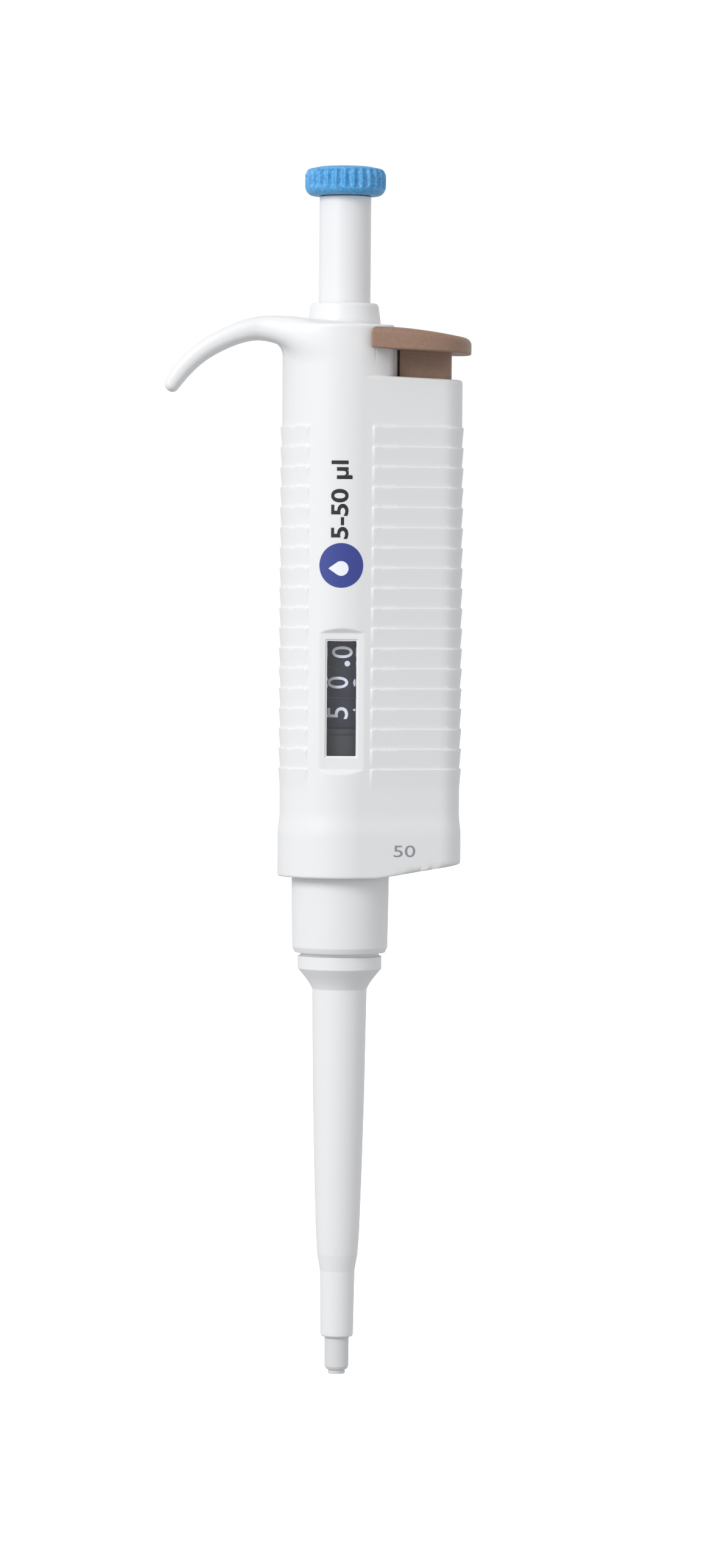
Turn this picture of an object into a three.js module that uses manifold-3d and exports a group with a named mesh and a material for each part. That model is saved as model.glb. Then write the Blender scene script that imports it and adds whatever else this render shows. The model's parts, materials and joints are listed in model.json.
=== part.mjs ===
// Adjustable micropipette, 5 to 50 microlitres, in millimetres with +Z up.
// The origin is the centre of the tip cone's end face. The main axis is +Z, the finger hook points to -X,
// the tip ejector is on +X and the volume window faces -Y.
import * as THREE from 'three';
import { mergeVertices } from 'three/addons/utils/BufferGeometryUtils.js';
import Module from 'manifold-3d';

const wasm = await Module();
wasm.setup();

// ---------------------------------------------------------------- driving dimensions

const GAP = 0.3; // clearance between neighbouring pieces
const FINE = 24; // sides of the large round pieces
const COARSE = 16; // sides of the small and hidden round pieces
const FAR = 60; // past the widest piece, for cutting blocks
const OVER = 1; // how far a cutting body reaches past the face that it cuts

// handle
const COLUMN_R = 12.2;
const HOUSING_X = 23.5; // right end of the ejector housing
const CORNER_R = 4;
const CORNER_Y = 2.6; // half distance between the two corner centres
const HANDLE_BOTTOM = 98.9;
const SHOULDER_Z = 198.3; // top of the ejector housing
const SHOULDER_DROP = 0.6;
const NECK_TOP = 208.6;
const NECK_FLAT_X = 9.9;
const BAND_TOP = 108.9; // top of the slightly flared lower band
const BAND_FLARE = 0.35;
const BOTTOM_RISE = 2.6; // the lower edge climbs this far towards the housing's end
const BOTTOM_RISE_X = 7.3;
const RAIL_Y = 3.5; // half width of the ejector's guide rail on the neck's flat
const RAIL_DEPTH = 0.7;
const RAIL_DROP = 1.5; // the rail ends this far below the neck's top
const COUNTERBORE_R = 7.5; // round seat of the collar in the neck's top

// grip ribs
const RIB_COUNT = 18;
const RIB_TOP = 188.6;
const RIB_PITCH = 3.976;
const RIB_DEPTH = 0.4;
const RIB_LEFT_X = -6.8;
const RIB_RIGHT_X = 5.9;

// hook
const HOOK_WIDTH = 14;
const HOOK_ROOT_Z = 200;

// top collar
const COLLAR_R = 7.2;
const COLLAR_TOP = 213;

// counter and window
const DIGIT_PITCH = 6;
const TENTHS_Z = 144; // middle of the tenths drum
const DRUM_R = 8.2;
const DRUM_RIM = 1;
const DRUM_HEIGHT = DIGIT_PITCH - GAP;
const TUBE_R = 3.6;
const TUBE_BORE_R = 2.6;
const PAD_Y = -11.4;
const PAD_BOTTOM = 120.9;
const PAD_TOP = 147.8;
const PAD_SLOPE = 1.2; // rise of the pad's sloped ends over their depth
const WINDOW_Z = 134.9;
const WINDOW_WIDTH = 6.4;
const WINDOW_HEIGHT = 23.3;
const LENS_INSET = 0.1; // the lens sits this far behind the pad
const LENS_THICKNESS = 1.1;
const COUNTER_BASE = 119;
const COUNTER_TOP = 147.4;
const FRAME_R = 9.6;
const PINION_ORBIT = 5.55;
const PINION_R = 1.25;
const PINION_TEETH = 8;
const PINION_AXLE_R = 0.5;
const WEB_TOP = 0.9; // a drum's web, hub and rim are measured from its middle
const HUB_BOTTOM = 1.1;
const PLATE_HALF = 0.4; // half thickness of a carrier plate

// plunger
const ROD_R = 5.1;
const ROD_BOTTOM = 182.5;
const FLANGE_R = 7.5; // the push rod's flange meets the volume stop
const FLANGE_HEIGHT = 3;
const SPIGOT_R = 3.9; // the push rod's end inside the cap
const SPIGOT_HEIGHT = 2.9;
const CAP_BOTTOM = 234.3;
const CAP_TOP = 240;
const CAP_R = 8;
const FLUTES = 28;
const FLUTE_DEPTH = 0.3;
const FLAT_Y = 4.5; // half width across the push rod's flats
const DRIVE_R = 2;
const DRIVE_TOP = 199.7;
const HEAD_BOTTOM = 113.9;
const HEAD_TOP = 117.3;
const HEAD_R = 5.6;
const HEAD_HUB_R = 2.4;
const HEAD_HUB_DROP = 2;
const PISTON_SOCKET = 1.6;
const PISTON_R = 1.05;
const PISTON_END = 24.5;
const STROKE = 14.44; // 50 microlitres over the piston's area
const CUP_TOP = HEAD_BOTTOM - STROKE - GAP;
const CUP_R = 6;
const CUP_SLEEVE_R = 4.2;
const CUP_BORE_R = 3.6;
const CUP_FLOOR_R = 1.4;
const CUP_FLANGE = 1.4;
const CUP_DEPTH = 7.7;
const CUP_FLOOR = 1;

// volume stop
const SCREW_R = 6.2;
const SCREW_BOTTOM = 186.3;
const SCREW_TOP = 204.2;
const NUT_R = 7.9;
const NUT_TOP = 202.6;
const NUT_HEIGHT = 3.7;
const THREAD_PITCH = 3;
const THREAD_DEPTH = 0.3;
const THREAD_HALF = 0.35; // half width of a thread groove
const SCREW_HEAD = 1.2;
const KEY_HEIGHT = 3.5; // the keys that turn with the push rod's flats

// bores of the handle
const TOP_BORE_R = 8.3;
const MAIN_BORE_R = 10;
const LOWER_BORE_R = 10.3;
const TOP_BORE_END = 205.6;
const MAIN_BORE_TOP = 151;
const LOWER_BORE_TOP = 112;
const COLLAR_HOLE_R = 6.3;

// ejector
const EJECTOR_X = 16; // axis of the ejector rod
const STEM_LEFT = 10.95;
const STEM_RIGHT = 21.3;
const STEM_Y = 4;
const STEM_BOTTOM = 187;
const BUTTON_LEFT = 5.4;
const BUTTON_RIGHT = 25.2;
const BUTTON_Y = 13;
const ARM_BOTTOM = 108;
const ARM_TOP = 111;
const EJECTOR_COLLAR_R = 9.7;
const EJECTOR_COLLAR_BORE_R = 8.7;
const EJECTOR_COLLAR_BOTTOM = 84.2;
const EJECTOR_LEDGE = 166; // the ejector spring stands on this ledge
const EJECTOR_ROD_R = 1.5;
const ARM_Y = 2.9;
const ARM_RIGHT = 18.8;
const ARM_SLOT_Y = 3.6;
const ARM_SLOT_X = 20.5;
const ROD_CHANNEL_X = 3; // half size of the channel that the ejector rod runs in
const ROD_CHANNEL_Y = 3.2;
const ROD_GUIDE = 6; // depth of the rod's guide hole below the ledge
const ROD_SOCKET = 4; // depth of the rod's socket in the button's stem
const ARM_FLOOR = 0.8; // what is left under the rod's socket in the arm
const BUTTON_BOTTOM = 203.9;

// shaft and its holder
const HOUSING_R = 7.2;
const HOUSING_BORE_R = 6.3;
const HOUSING_BOTTOM = 88.3;
const HOUSING_TOP = 118;
const SHAFT_TOP = 88;
const RING_BOTTOM = 112.3;
const RING_TOP = 116;
const SEAL_BOTTOM = 38.3;
const SEAL_TOP = 40.8;
const O_RING_Z = 41.6;
const BUSH_BOTTOM = 42.4;
const BUSH_TOP = 56;

// ---------------------------------------------------------------- geometry helpers

// A three.js geometry as a solid. Its triangles are turned to face out if they face in.
function solid(geometry) {
  const bare = geometry.clone();
  for (const name of Object.keys(bare.attributes)) {
    if (name !== 'position') bare.deleteAttribute(name);
  }
  const merged = mergeVertices(bare, 1e-4);
  const points = merged.attributes.position.array;
  const corners = Array.from(merged.index.array);
  const triangles = [];
  let volume = 0;
  for (let i = 0; i < corners.length; i += 3) {
    const [a, b, c] = corners.slice(i, i + 3);
    if (a === b || b === c || a === c) continue;
    triangles.push(a, b, c);
    const [p, q, r] = [a, b, c].map((k) => new THREE.Vector3().fromArray(points, 3 * k));
    volume += p.dot(q.cross(r));
  }
  if (volume < 0) triangles.reverse();
  return new wasm.Manifold(
    new wasm.Mesh({
      numProp: 3,
      vertProperties: new Float32Array(points),
      triVerts: new Uint32Array(triangles),
    }),
  );
}

// A solid back as a three.js geometry.
function geometryOf(body) {
  const { vertProperties, triVerts } = body.getMesh();
  const geometry = new THREE.BufferGeometry();
  geometry.setAttribute('position', new THREE.BufferAttribute(new Float32Array(vertProperties), 3));
  geometry.setIndex(new THREE.BufferAttribute(new Uint32Array(triVerts), 1));
  geometry.computeVertexNormals();
  return geometry;
}

// A closed profile of [radius, z] points turned about the Z axis.
function turned(profile, sides = COARSE) {
  const points = profile.map(([r, z]) => new THREE.Vector2(r, z));
  if (profile[0][0] > 0) points.push(points[0].clone());
  return solid(new THREE.LatheGeometry(points, sides).rotateX(Math.PI / 2));
}

// A straight tube from bottom to top, or a solid rod when the inner radius is 0.
function tube(outer, inner, bottom, top, sides = COARSE) {
  const profile = [[inner, bottom], [outer, bottom], [outer, top], [inner, top]];
  return turned(profile, sides);
}

// A round rod with its axis parallel to Z at x, y.
function rodAt(x, y, radius, bottom, top, sides = COARSE) {
  return tube(radius, 0, bottom, top, sides).translate([x, y, 0]);
}

// A box given by its low and high corners.
function block(low, high) {
  const size = high.map((value, i) => value - low[i]);
  const box = new THREE.BoxGeometry(...size);
  box.translate(...low.map((value, i) => value + size[i] / 2));
  return solid(box);
}

// A flat outline pushed up from bottom to top.
function raised(shape, bottom, top, options = {}) {
  const settings = { depth: top - bottom, bevelEnabled: false, curveSegments: 12, ...options };
  return solid(new THREE.ExtrudeGeometry(shape, settings).translate(0, 0, bottom));
}

// An outline drawn in the XZ plane and pushed along Y, centred on the XZ plane.
function acrossY(shape, width, options = {}) {
  const settings = { depth: width, bevelEnabled: false, curveSegments: 12, ...options };
  const geometry = new THREE.ExtrudeGeometry(shape, settings);
  return solid(geometry.translate(0, 0, -width / 2).rotateX(Math.PI / 2));
}

function shapeOf(points) {
  return new THREE.Shape(points.map(([x, y]) => new THREE.Vector2(x, y)));
}

// Points along an arc, both ends included.
function arcPoints(x, y, radius, start, end, steps) {
  return Array.from({ length: steps + 1 }, (_, i) => {
    const angle = start + ((end - start) * i) / steps;
    return [x + radius * Math.cos(angle), y + radius * Math.sin(angle)];
  });
}

// A rectangle with rounded corners, centred on x, y.
function roundedRectangle(x, y, width, height, radius) {
  const shape = new THREE.Shape();
  const [w, h] = [width / 2 - radius, height / 2 - radius];
  shape.absarc(x + w, y + h, radius, 0, Math.PI / 2);
  shape.absarc(x - w, y + h, radius, Math.PI / 2, Math.PI);
  shape.absarc(x - w, y - h, radius, Math.PI, 1.5 * Math.PI);
  shape.absarc(x + w, y - h, radius, 1.5 * Math.PI, 2 * Math.PI);
  return shape;
}

// A coil spring of round wire about the Z axis, with its wire inside bottom to top.
function coil(meanRadius, wireRadius, turns, bottom, top) {
  class Helix extends THREE.Curve {
    getPoint(t, target = new THREE.Vector3()) {
      const angle = 2 * Math.PI * turns * t;
      const z = bottom + wireRadius + (top - bottom - 2 * wireRadius) * t;
      return target.set(meanRadius * Math.cos(angle), meanRadius * Math.sin(angle), z);
    }
  }
  const wire = new THREE.Shape();
  wire.absarc(0, 0, wireRadius, 0, 2 * Math.PI);
  const settings = { steps: Math.round(turns * 7), extrudePath: new Helix(), curveSegments: 3 };
  return solid(new THREE.ExtrudeGeometry(wire, settings));
}

// ---------------------------------------------------------------- handle

// The handle's cross-section: the round column joined by flat sides to the housing's rounded end.
function handleOutline() {
  const centreX = HOUSING_X - CORNER_R;
  const reach = Math.hypot(centreX, CORNER_Y);
  const tangent = Math.acos((COLUMN_R - CORNER_R) / reach) + Math.atan2(CORNER_Y, centreX);
  return shapeOf([
    ...arcPoints(centreX, -CORNER_Y, CORNER_R, -tangent, 0, 3),
    ...arcPoints(centreX, CORNER_Y, CORNER_R, 0, tangent, 3),
    ...arcPoints(0, 0, COLUMN_R, tangent, 2 * Math.PI - tangent, 16),
  ]);
}

// A layer of the handle's section whose side slopes out by flare from bottom to top.
function flaredLayer(bottom, top, flare) {
  const settings = {
    depth: 1,
    bevelEnabled: true,
    bevelThickness: top - bottom,
    bevelSize: flare,
    bevelSegments: 1,
  };
  const layer = solid(new THREE.ExtrudeGeometry(handleOutline(), settings).translate(0, 0, top));
  return layer.intersect(block([-FAR, -FAR, bottom], [FAR, FAR, top]));
}

function gripRibs() {
  const left = block([-FAR, -FAR, HANDLE_BOTTOM], [RIB_LEFT_X, FAR, NECK_TOP]);
  const right = block([RIB_RIGHT_X, -FAR, HANDLE_BOTTOM], [FAR, FAR, NECK_TOP]);
  const fade = 0.2; // the ribs run out to nothing this far above the next one
  let ribs = null;
  for (let i = 0; i < RIB_COUNT; i += 1) {
    const top = RIB_TOP - i * RIB_PITCH;
    const layer = flaredLayer(top - RIB_PITCH + fade, top, RIB_DEPTH);
    ribs = ribs ? ribs.add(layer) : layer;
  }
  return ribs.intersect(left.add(right));
}

// The finger hook's side view: over the top from the neck to the tip, and back along the underside.
function hookOutline() {
  const shape = new THREE.Shape();
  shape.moveTo(0, HOOK_ROOT_Z);
  shape.lineTo(0, NECK_TOP);
  shape.splineThru([
    new THREE.Vector2(-5.4, 209.3),
    new THREE.Vector2(-13.1, 210.3),
    new THREE.Vector2(-19.3, 209.6),
    new THREE.Vector2(-25.6, 207),
    new THREE.Vector2(-31.2, 203),
    new THREE.Vector2(-34.9, 198.2),
  ]);
  shape.lineTo(-35.5, 196.5);
  shape.quadraticCurveTo(-35.3, 195.3, -34.2, 195.3);
  shape.lineTo(-33.1, 195.9);
  shape.splineThru([
    new THREE.Vector2(-30.8, 199),
    new THREE.Vector2(-26.5, 202.5),
    new THREE.Vector2(-21, 205.1),
    new THREE.Vector2(-18, 205.6),
    new THREE.Vector2(-14.8, 204.2),
    new THREE.Vector2(-12.6, 200.9),
    new THREE.Vector2(-11.9, 195),
  ]);
  return shape;
}

function hook() {
  return acrossY(hookOutline(), HOOK_WIDTH, { curveSegments: 3 });
}

function handleOuter() {
  const column = tube(COLUMN_R, 0, SHOULDER_Z - 2 * OVER, NECK_TOP, FINE);
  const neck = column.subtract(block([NECK_FLAT_X, -FAR, SHOULDER_Z], [FAR, FAR, NECK_TOP + OVER]));
  const grip = raised(handleOutline(), HANDLE_BOTTOM, SHOULDER_Z);
  const band = flaredLayer(HANDLE_BOTTOM - OVER / 2, BAND_TOP, BAND_FLARE);
  const lowBand = band.intersect(block([-FAR, -FAR, HANDLE_BOTTOM], [FAR, FAR, BAND_TOP]));
  const shoulderSlope = SHOULDER_DROP / (HOUSING_X - NECK_FLAT_X);
  const riseSlope = BOTTOM_RISE / (HOUSING_X - BOTTOM_RISE_X);
  const shoulder = acrossY(
    shapeOf([
      [NECK_FLAT_X, SHOULDER_Z],
      [FAR, SHOULDER_Z - shoulderSlope * (FAR - NECK_FLAT_X)],
      [FAR, SHOULDER_Z + 5 * OVER],
      [NECK_FLAT_X, SHOULDER_Z + 5 * OVER],
    ]),
    FAR,
  );
  const lowerEdge = acrossY(
    shapeOf([
      [BOTTOM_RISE_X, HANDLE_BOTTOM],
      [BOTTOM_RISE_X, HANDLE_BOTTOM - 5 * OVER],
      [FAR, HANDLE_BOTTOM - 5 * OVER],
      [FAR, HANDLE_BOTTOM + riseSlope * (FAR - BOTTOM_RISE_X)],
    ]),
    FAR,
  );
  const railFace = NECK_FLAT_X + RAIL_DEPTH;
  const railTop = NECK_TOP - RAIL_DROP;
  const rail = block([NECK_FLAT_X - OVER, -RAIL_Y, SHOULDER_Z - OVER], [railFace, RAIL_Y, railTop]);
  const besideRail = shoulder.subtract(block([0, -RAIL_Y, HANDLE_BOTTOM], [railFace, RAIL_Y, NECK_TOP]));
  return grip.add(neck).add(lowBand).add(gripRibs()).add(hook()).add(rail)
    .subtract(besideRail)
    .subtract(lowerEdge);
}

function windowPad() {
  const depth = 2;
  const shape = shapeOf([
    [PAD_Y, PAD_BOTTOM],
    [PAD_Y, PAD_TOP],
    [PAD_Y - depth, PAD_TOP + depth * PAD_SLOPE],
    [PAD_Y - depth, PAD_BOTTOM - depth * PAD_SLOPE],
  ]);
  const geometry = new THREE.ExtrudeGeometry(shape, { depth: 2 * COLUMN_R, bevelEnabled: false });
  geometry.translate(0, 0, -COLUMN_R).rotateX(Math.PI / 2).rotateZ(Math.PI / 2);
  return solid(geometry);
}

function windowOpening(width, height, near, far, radius) {
  const shape = roundedRectangle(0, WINDOW_Z, width, height, radius);
  const geometry = new THREE.ExtrudeGeometry(shape, {
    depth: far - near,
    bevelEnabled: false,
    curveSegments: 3,
  });
  return solid(geometry.rotateX(Math.PI / 2).translate(0, far, 0));
}

function handleBody() {
  const below = HANDLE_BOTTOM - 5 * OVER;
  const above = NECK_TOP + 5 * OVER;
  const stemLow = [STEM_LEFT - GAP, -STEM_Y - GAP, EJECTOR_LEDGE];
  const stemHigh = [STEM_RIGHT + GAP, STEM_Y + GAP, SHOULDER_Z + 5 * OVER];
  const channelLow = [EJECTOR_X - ROD_CHANNEL_X, -ROD_CHANNEL_Y, LOWER_BORE_TOP];
  const channelHigh = [EJECTOR_X + ROD_CHANNEL_X, ROD_CHANNEL_Y, EJECTOR_LEDGE - ROD_GUIDE];
  const cuts = [
    tube(LOWER_BORE_R, 0, below, LOWER_BORE_TOP, FINE),
    tube(MAIN_BORE_R, 0, LOWER_BORE_TOP - OVER, MAIN_BORE_TOP, FINE),
    tube(TOP_BORE_R, 0, MAIN_BORE_TOP - OVER, TOP_BORE_END),
    tube(COLLAR_HOLE_R, 0, TOP_BORE_END - OVER, above),
    tube(COUNTERBORE_R, 0, NECK_TOP, above),
    block([0, -ARM_SLOT_Y, below], [ARM_SLOT_X, ARM_SLOT_Y, LOWER_BORE_TOP + GAP]),
    block(channelLow, channelHigh),
    rodAt(EJECTOR_X, 0, EJECTOR_ROD_R + 0.4, channelHigh[2] - OVER, EJECTOR_LEDGE + OVER),
    block(stemLow, stemHigh),
    windowPad(),
    windowOpening(WINDOW_WIDTH, WINDOW_HEIGHT, -COLUMN_R, -MAIN_BORE_R + 2 * OVER, 0.5),
  ];
  return cuts.reduce((body, cut) => body.subtract(cut), handleOuter());
}

function counterWindow() {
  const front = PAD_Y + LENS_INSET;
  const [width, height] = [WINDOW_WIDTH - 2 * GAP, WINDOW_HEIGHT - 2 * GAP];
  return windowOpening(width, height, front, front + LENS_THICKNESS, 0.3);
}

function topCollar() {
  const base = NECK_TOP + 0.25;
  return turned([
    [ROD_R + GAP, SCREW_TOP + GAP],
    [COLLAR_HOLE_R - GAP, SCREW_TOP + GAP],
    [COLLAR_HOLE_R - GAP, base],
    [COLLAR_R, base],
    [COLLAR_R - 0.1, base + 0.8],
    [COLLAR_R - 0.52, COLLAR_TOP - 0.7],
    [COLLAR_R - 1, COLLAR_TOP],
    [ROD_R + GAP, COLLAR_TOP],
  ], FINE);
}

// ---------------------------------------------------------------- plunger

function buttonCap() {
  const bandTop = CAP_BOTTOM + 1.6; // top of the plain band under the flutes
  const rim = turned([
    [0, CAP_BOTTOM],
    [CAP_R - 1.2, CAP_BOTTOM],
    [CAP_R, CAP_BOTTOM + 1],
    [CAP_R, bandTop],
    [CAP_R - FLUTE_DEPTH, bandTop + 0.1],
    [CAP_R - FLUTE_DEPTH - 0.1, CAP_TOP - 1.3],
    [CAP_R - 1, CAP_TOP - 0.4],
    [5, CAP_TOP],
    [0, CAP_TOP],
  ], FINE);
  const points = [];
  for (let i = 0; i < 2 * FLUTES; i += 1) {
    const angle = (i * Math.PI) / FLUTES;
    const radius = i % 2 ? CAP_R - FLUTE_DEPTH : CAP_R;
    points.push([radius * Math.cos(angle), radius * Math.sin(angle)]);
  }
  const flutes = raised(shapeOf(points), bandTop - 0.1, CAP_TOP - 1.4);
  const socket = tube(SPIGOT_R + GAP, 0, CAP_BOTTOM - OVER, CAP_BOTTOM + SPIGOT_HEIGHT + GAP);
  return rim.add(flutes).subtract(socket);
}

function pushRod() {
  const flangeTop = ROD_BOTTOM + FLANGE_HEIGHT;
  const rod = turned([
    [0, ROD_BOTTOM],
    [FLANGE_R, ROD_BOTTOM],
    [FLANGE_R, flangeTop],
    [ROD_R, flangeTop],
    [ROD_R, CAP_BOTTOM - GAP],
    [SPIGOT_R, CAP_BOTTOM - GAP],
    [SPIGOT_R, CAP_BOTTOM + SPIGOT_HEIGHT],
    [0, CAP_BOTTOM + SPIGOT_HEIGHT],
  ], FINE);
  const flatsTop = COLLAR_TOP - 1.4;
  const side = (sign) => {
    const [near, far] = [FLAT_Y, FAR].map((y) => y * sign).sort((a, b) => a - b);
    return block([-FAR, near, flangeTop], [FAR, far, flatsTop]);
  };
  const hole = tube(DRIVE_R + GAP, 0, ROD_BOTTOM - OVER, DRIVE_TOP + GAP);
  return rod.subtract(side(1)).subtract(side(-1)).subtract(hole);
}

function driveRod() {
  return tube(DRIVE_R, 0, HEAD_TOP + GAP, DRIVE_TOP, 6);
}

function pistonHead() {
  return turned([
    [0, HEAD_BOTTOM + PISTON_SOCKET],
    [PISTON_R + GAP, HEAD_BOTTOM + PISTON_SOCKET],
    [PISTON_R + GAP, HEAD_BOTTOM - HEAD_HUB_DROP],
    [HEAD_HUB_R, HEAD_BOTTOM - HEAD_HUB_DROP],
    [HEAD_HUB_R, HEAD_BOTTOM],
    [HEAD_R, HEAD_BOTTOM],
    [HEAD_R, HEAD_TOP],
    [0, HEAD_TOP],
  ]);
}

function piston() {
  return tube(PISTON_R, 0, PISTON_END, HEAD_BOTTOM + PISTON_SOCKET - GAP);
}

function blowoutCup() {
  return turned([
    [CUP_FLOOR_R, CUP_TOP - CUP_DEPTH],
    [CUP_SLEEVE_R, CUP_TOP - CUP_DEPTH],
    [CUP_SLEEVE_R, CUP_TOP - CUP_FLANGE],
    [CUP_R, CUP_TOP - CUP_FLANGE],
    [CUP_R, CUP_TOP],
    [CUP_BORE_R, CUP_TOP],
    [CUP_BORE_R, CUP_TOP - CUP_DEPTH + CUP_FLOOR],
    [CUP_FLOOR_R, CUP_TOP - CUP_DEPTH + CUP_FLOOR],
  ]);
}

// Each spring's numbers are its mean radius, wire radius, turns and ends.
const SPRING_SLACK = 0.1;

function mainSpring() {
  const bottom = CUP_TOP - CUP_DEPTH + CUP_FLOOR + SPRING_SLACK;
  return coil(3, 0.28, 7, bottom, HEAD_BOTTOM - SPRING_SLACK);
}

function blowoutSpring() {
  return coil(5.2, 0.42, 3.5, SHAFT_TOP + SPRING_SLACK, CUP_TOP - CUP_FLANGE - SPRING_SLACK);
}

// ---------------------------------------------------------------- volume stop

function volumeScrew() {
  const bore = ROD_R + GAP;
  const profile = [[bore, SCREW_BOTTOM], [SCREW_R, SCREW_BOTTOM]];
  const headBottom = SCREW_TOP - SCREW_HEAD;
  for (let z = SCREW_BOTTOM + THREAD_PITCH; z < headBottom - GAP; z += THREAD_PITCH) {
    const root = [SCREW_R - THREAD_DEPTH, z - THREAD_HALF];
    profile.push([SCREW_R, z - 2 * THREAD_HALF], root, [SCREW_R, z]);
  }
  profile.push([SCREW_R, headBottom], [NUT_R, headBottom], [NUT_R, SCREW_TOP], [bore, SCREW_TOP]);
  const keyY = FLAT_Y + GAP;
  const keys = tube(bore + 0.2, 0, SCREW_BOTTOM, SCREW_BOTTOM + KEY_HEIGHT)
    .subtract(block([-FAR, -keyY, 0], [FAR, keyY, SCREW_TOP]));
  return turned(profile).add(keys);
}

function volumeStopNut() {
  return tube(NUT_R, SCREW_R + GAP, NUT_TOP - NUT_HEIGHT, NUT_TOP);
}

// ---------------------------------------------------------------- counter

function drumRim(middle) {
  const half = DRUM_HEIGHT / 2;
  return tube(DRUM_R, DRUM_R - DRUM_RIM, middle - half, middle + half, FINE);
}

function tenthsDrum() {
  const web = tube(DRUM_R - DRUM_RIM / 2, 0, TENTHS_Z - GAP, TENTHS_Z + WEB_TOP);
  const hub = tube(4, 0, TENTHS_Z - HUB_BOTTOM, COUNTER_TOP - 0.5);
  const hole = tube(DRIVE_R + GAP, 0, TENTHS_Z - 5, TENTHS_Z + 5, 6);
  return drumRim(TENTHS_Z).add(web).add(hub).subtract(hole);
}

// The units and tens drums turn on the counter's fixed tube.
function freeDrum(middle) {
  const web = tube(DRUM_R - DRUM_RIM / 2, TUBE_R + GAP, middle - GAP, middle + WEB_TOP);
  const hub = tube(TUBE_R + 1, TUBE_R + GAP, middle - HUB_BOTTOM, middle + 1.5);
  return drumRim(middle).add(web).add(hub);
}

// A fixed plate between two drums, with a hole for its pinion's axle.
function carrierPlate(seam) {
  const plate = tube(DRUM_R - DRUM_RIM - 0.4, TUBE_R + GAP, seam - PLATE_HALF, seam + PLATE_HALF);
  return plate.subtract(rodAt(PINION_ORBIT, 0, PINION_AXLE_R + GAP, seam - OVER, seam + OVER, 12));
}

// Two small toothed wheels on one axle through the carrier plate.
function transferPinion() {
  const points = [];
  const toothDepth = 0.35;
  const toothHalf = 0.28; // half a tooth's top, in steps of half a tooth
  for (let i = 0; i < 2 * PINION_TEETH; i += 1) {
    const radius = i % 2 ? PINION_R - toothDepth : PINION_R;
    for (const offset of [-toothHalf, toothHalf]) {
      const angle = ((i + offset) * Math.PI) / PINION_TEETH;
      points.push([radius * Math.cos(angle), radius * Math.sin(angle)]);
    }
  }
  const wheel = (bottom, top) => raised(shapeOf(points), bottom, top);
  const near = PLATE_HALF + GAP;
  return wheel(-near - 0.85, -near).add(wheel(near, near + 0.9)).add(tube(PINION_AXLE_R, 0, -1, 1, 10));
}

function counterFrame() {
  const base = tube(FRAME_R, TUBE_BORE_R, COUNTER_BASE, COUNTER_BASE + 2, FINE);
  const drumTube = tube(TUBE_R, TUBE_BORE_R, COUNTER_BASE, TENTHS_Z - 2.3);
  const top = TENTHS_Z - 2.5 * DIGIT_PITCH - GAP / 2;
  const sleeve = turned([
    [DRUM_R - DRUM_RIM, COUNTER_BASE + 1],
    [DRUM_R, COUNTER_BASE + 1],
    [DRUM_R, top - 1.4],
    [DRUM_R - 0.25, top - 1.2],
    [DRUM_R, top - 1],
    [DRUM_R, top],
    [DRUM_R - DRUM_RIM, top],
  ], FINE);
  let frame = base.add(drumTube).add(sleeve);
  const postHalf = 1.1;
  const postLow = [FRAME_R - 1, -postHalf, COUNTER_BASE];
  const postHigh = [FRAME_R - GAP / 2, postHalf, COUNTER_TOP - GAP];
  for (const degrees of [30, 90, 150]) {
    const post = block(postLow, postHigh);
    frame = frame.add(post.rotate([0, 0, degrees]));
  }
  return frame;
}

function counterTopPlate() {
  return tube(FRAME_R, TUBE_BORE_R, COUNTER_TOP, COUNTER_TOP + 2.6, FINE);
}

// ---------------------------------------------------------------- shaft and its holder

function retainingRing() {
  return tube(MAIN_BORE_R - GAP, HOUSING_R + GAP, RING_BOTTOM, RING_TOP, FINE);
}

function springHousing() {
  return turned([
    [HOUSING_BORE_R, HOUSING_BOTTOM],
    [HOUSING_R, HOUSING_BOTTOM],
    [HOUSING_R, RING_TOP + GAP],
    [HOUSING_R + 1.2, RING_TOP + GAP],
    [HOUSING_R + 1.2, HOUSING_TOP],
    [HOUSING_BORE_R, HOUSING_TOP],
  ]);
}

function tipConeShaft() {
  return turned([
    [0.5, 0],
    [1.7, 0],
    [1.7, 0.85],
    [2.1, 0.95],
    [2.38, 1.5],
    [2.42, 7.5],
    [2.45, 21],
    [2.85, 26],
    [3.45, 38.5],
    [3.7, 48],
    [3.95, 57.8],
    [4.2, 77],
    [4.3, 80.5],
    [6.9, 84],
    [6.9, SHAFT_TOP],
    [4.7, SHAFT_TOP],
    [4.7, 85.2],
    [3, 85.2],
    [3, 43],
    [2.8, 38],
    [1.15, 38],
    [1.15, 3],
    [0.5, 2.4],
  ], FINE);
}

function pistonSeal() {
  return tube(2.5, PISTON_R + GAP / 2, SEAL_BOTTOM, SEAL_TOP);
}

function sealRing() {
  const [ringRadius, wireRadius] = [1.9, 0.5];
  return solid(new THREE.TorusGeometry(ringRadius, wireRadius, 8, 18).translate(0, 0, O_RING_Z));
}

function sealBush() {
  const bore = PISTON_R + GAP;
  return turned([[bore, BUSH_BOTTOM], [2.6, BUSH_BOTTOM], [2.7, BUSH_TOP], [bore, BUSH_TOP]]);
}

// ---------------------------------------------------------------- tip ejector

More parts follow.
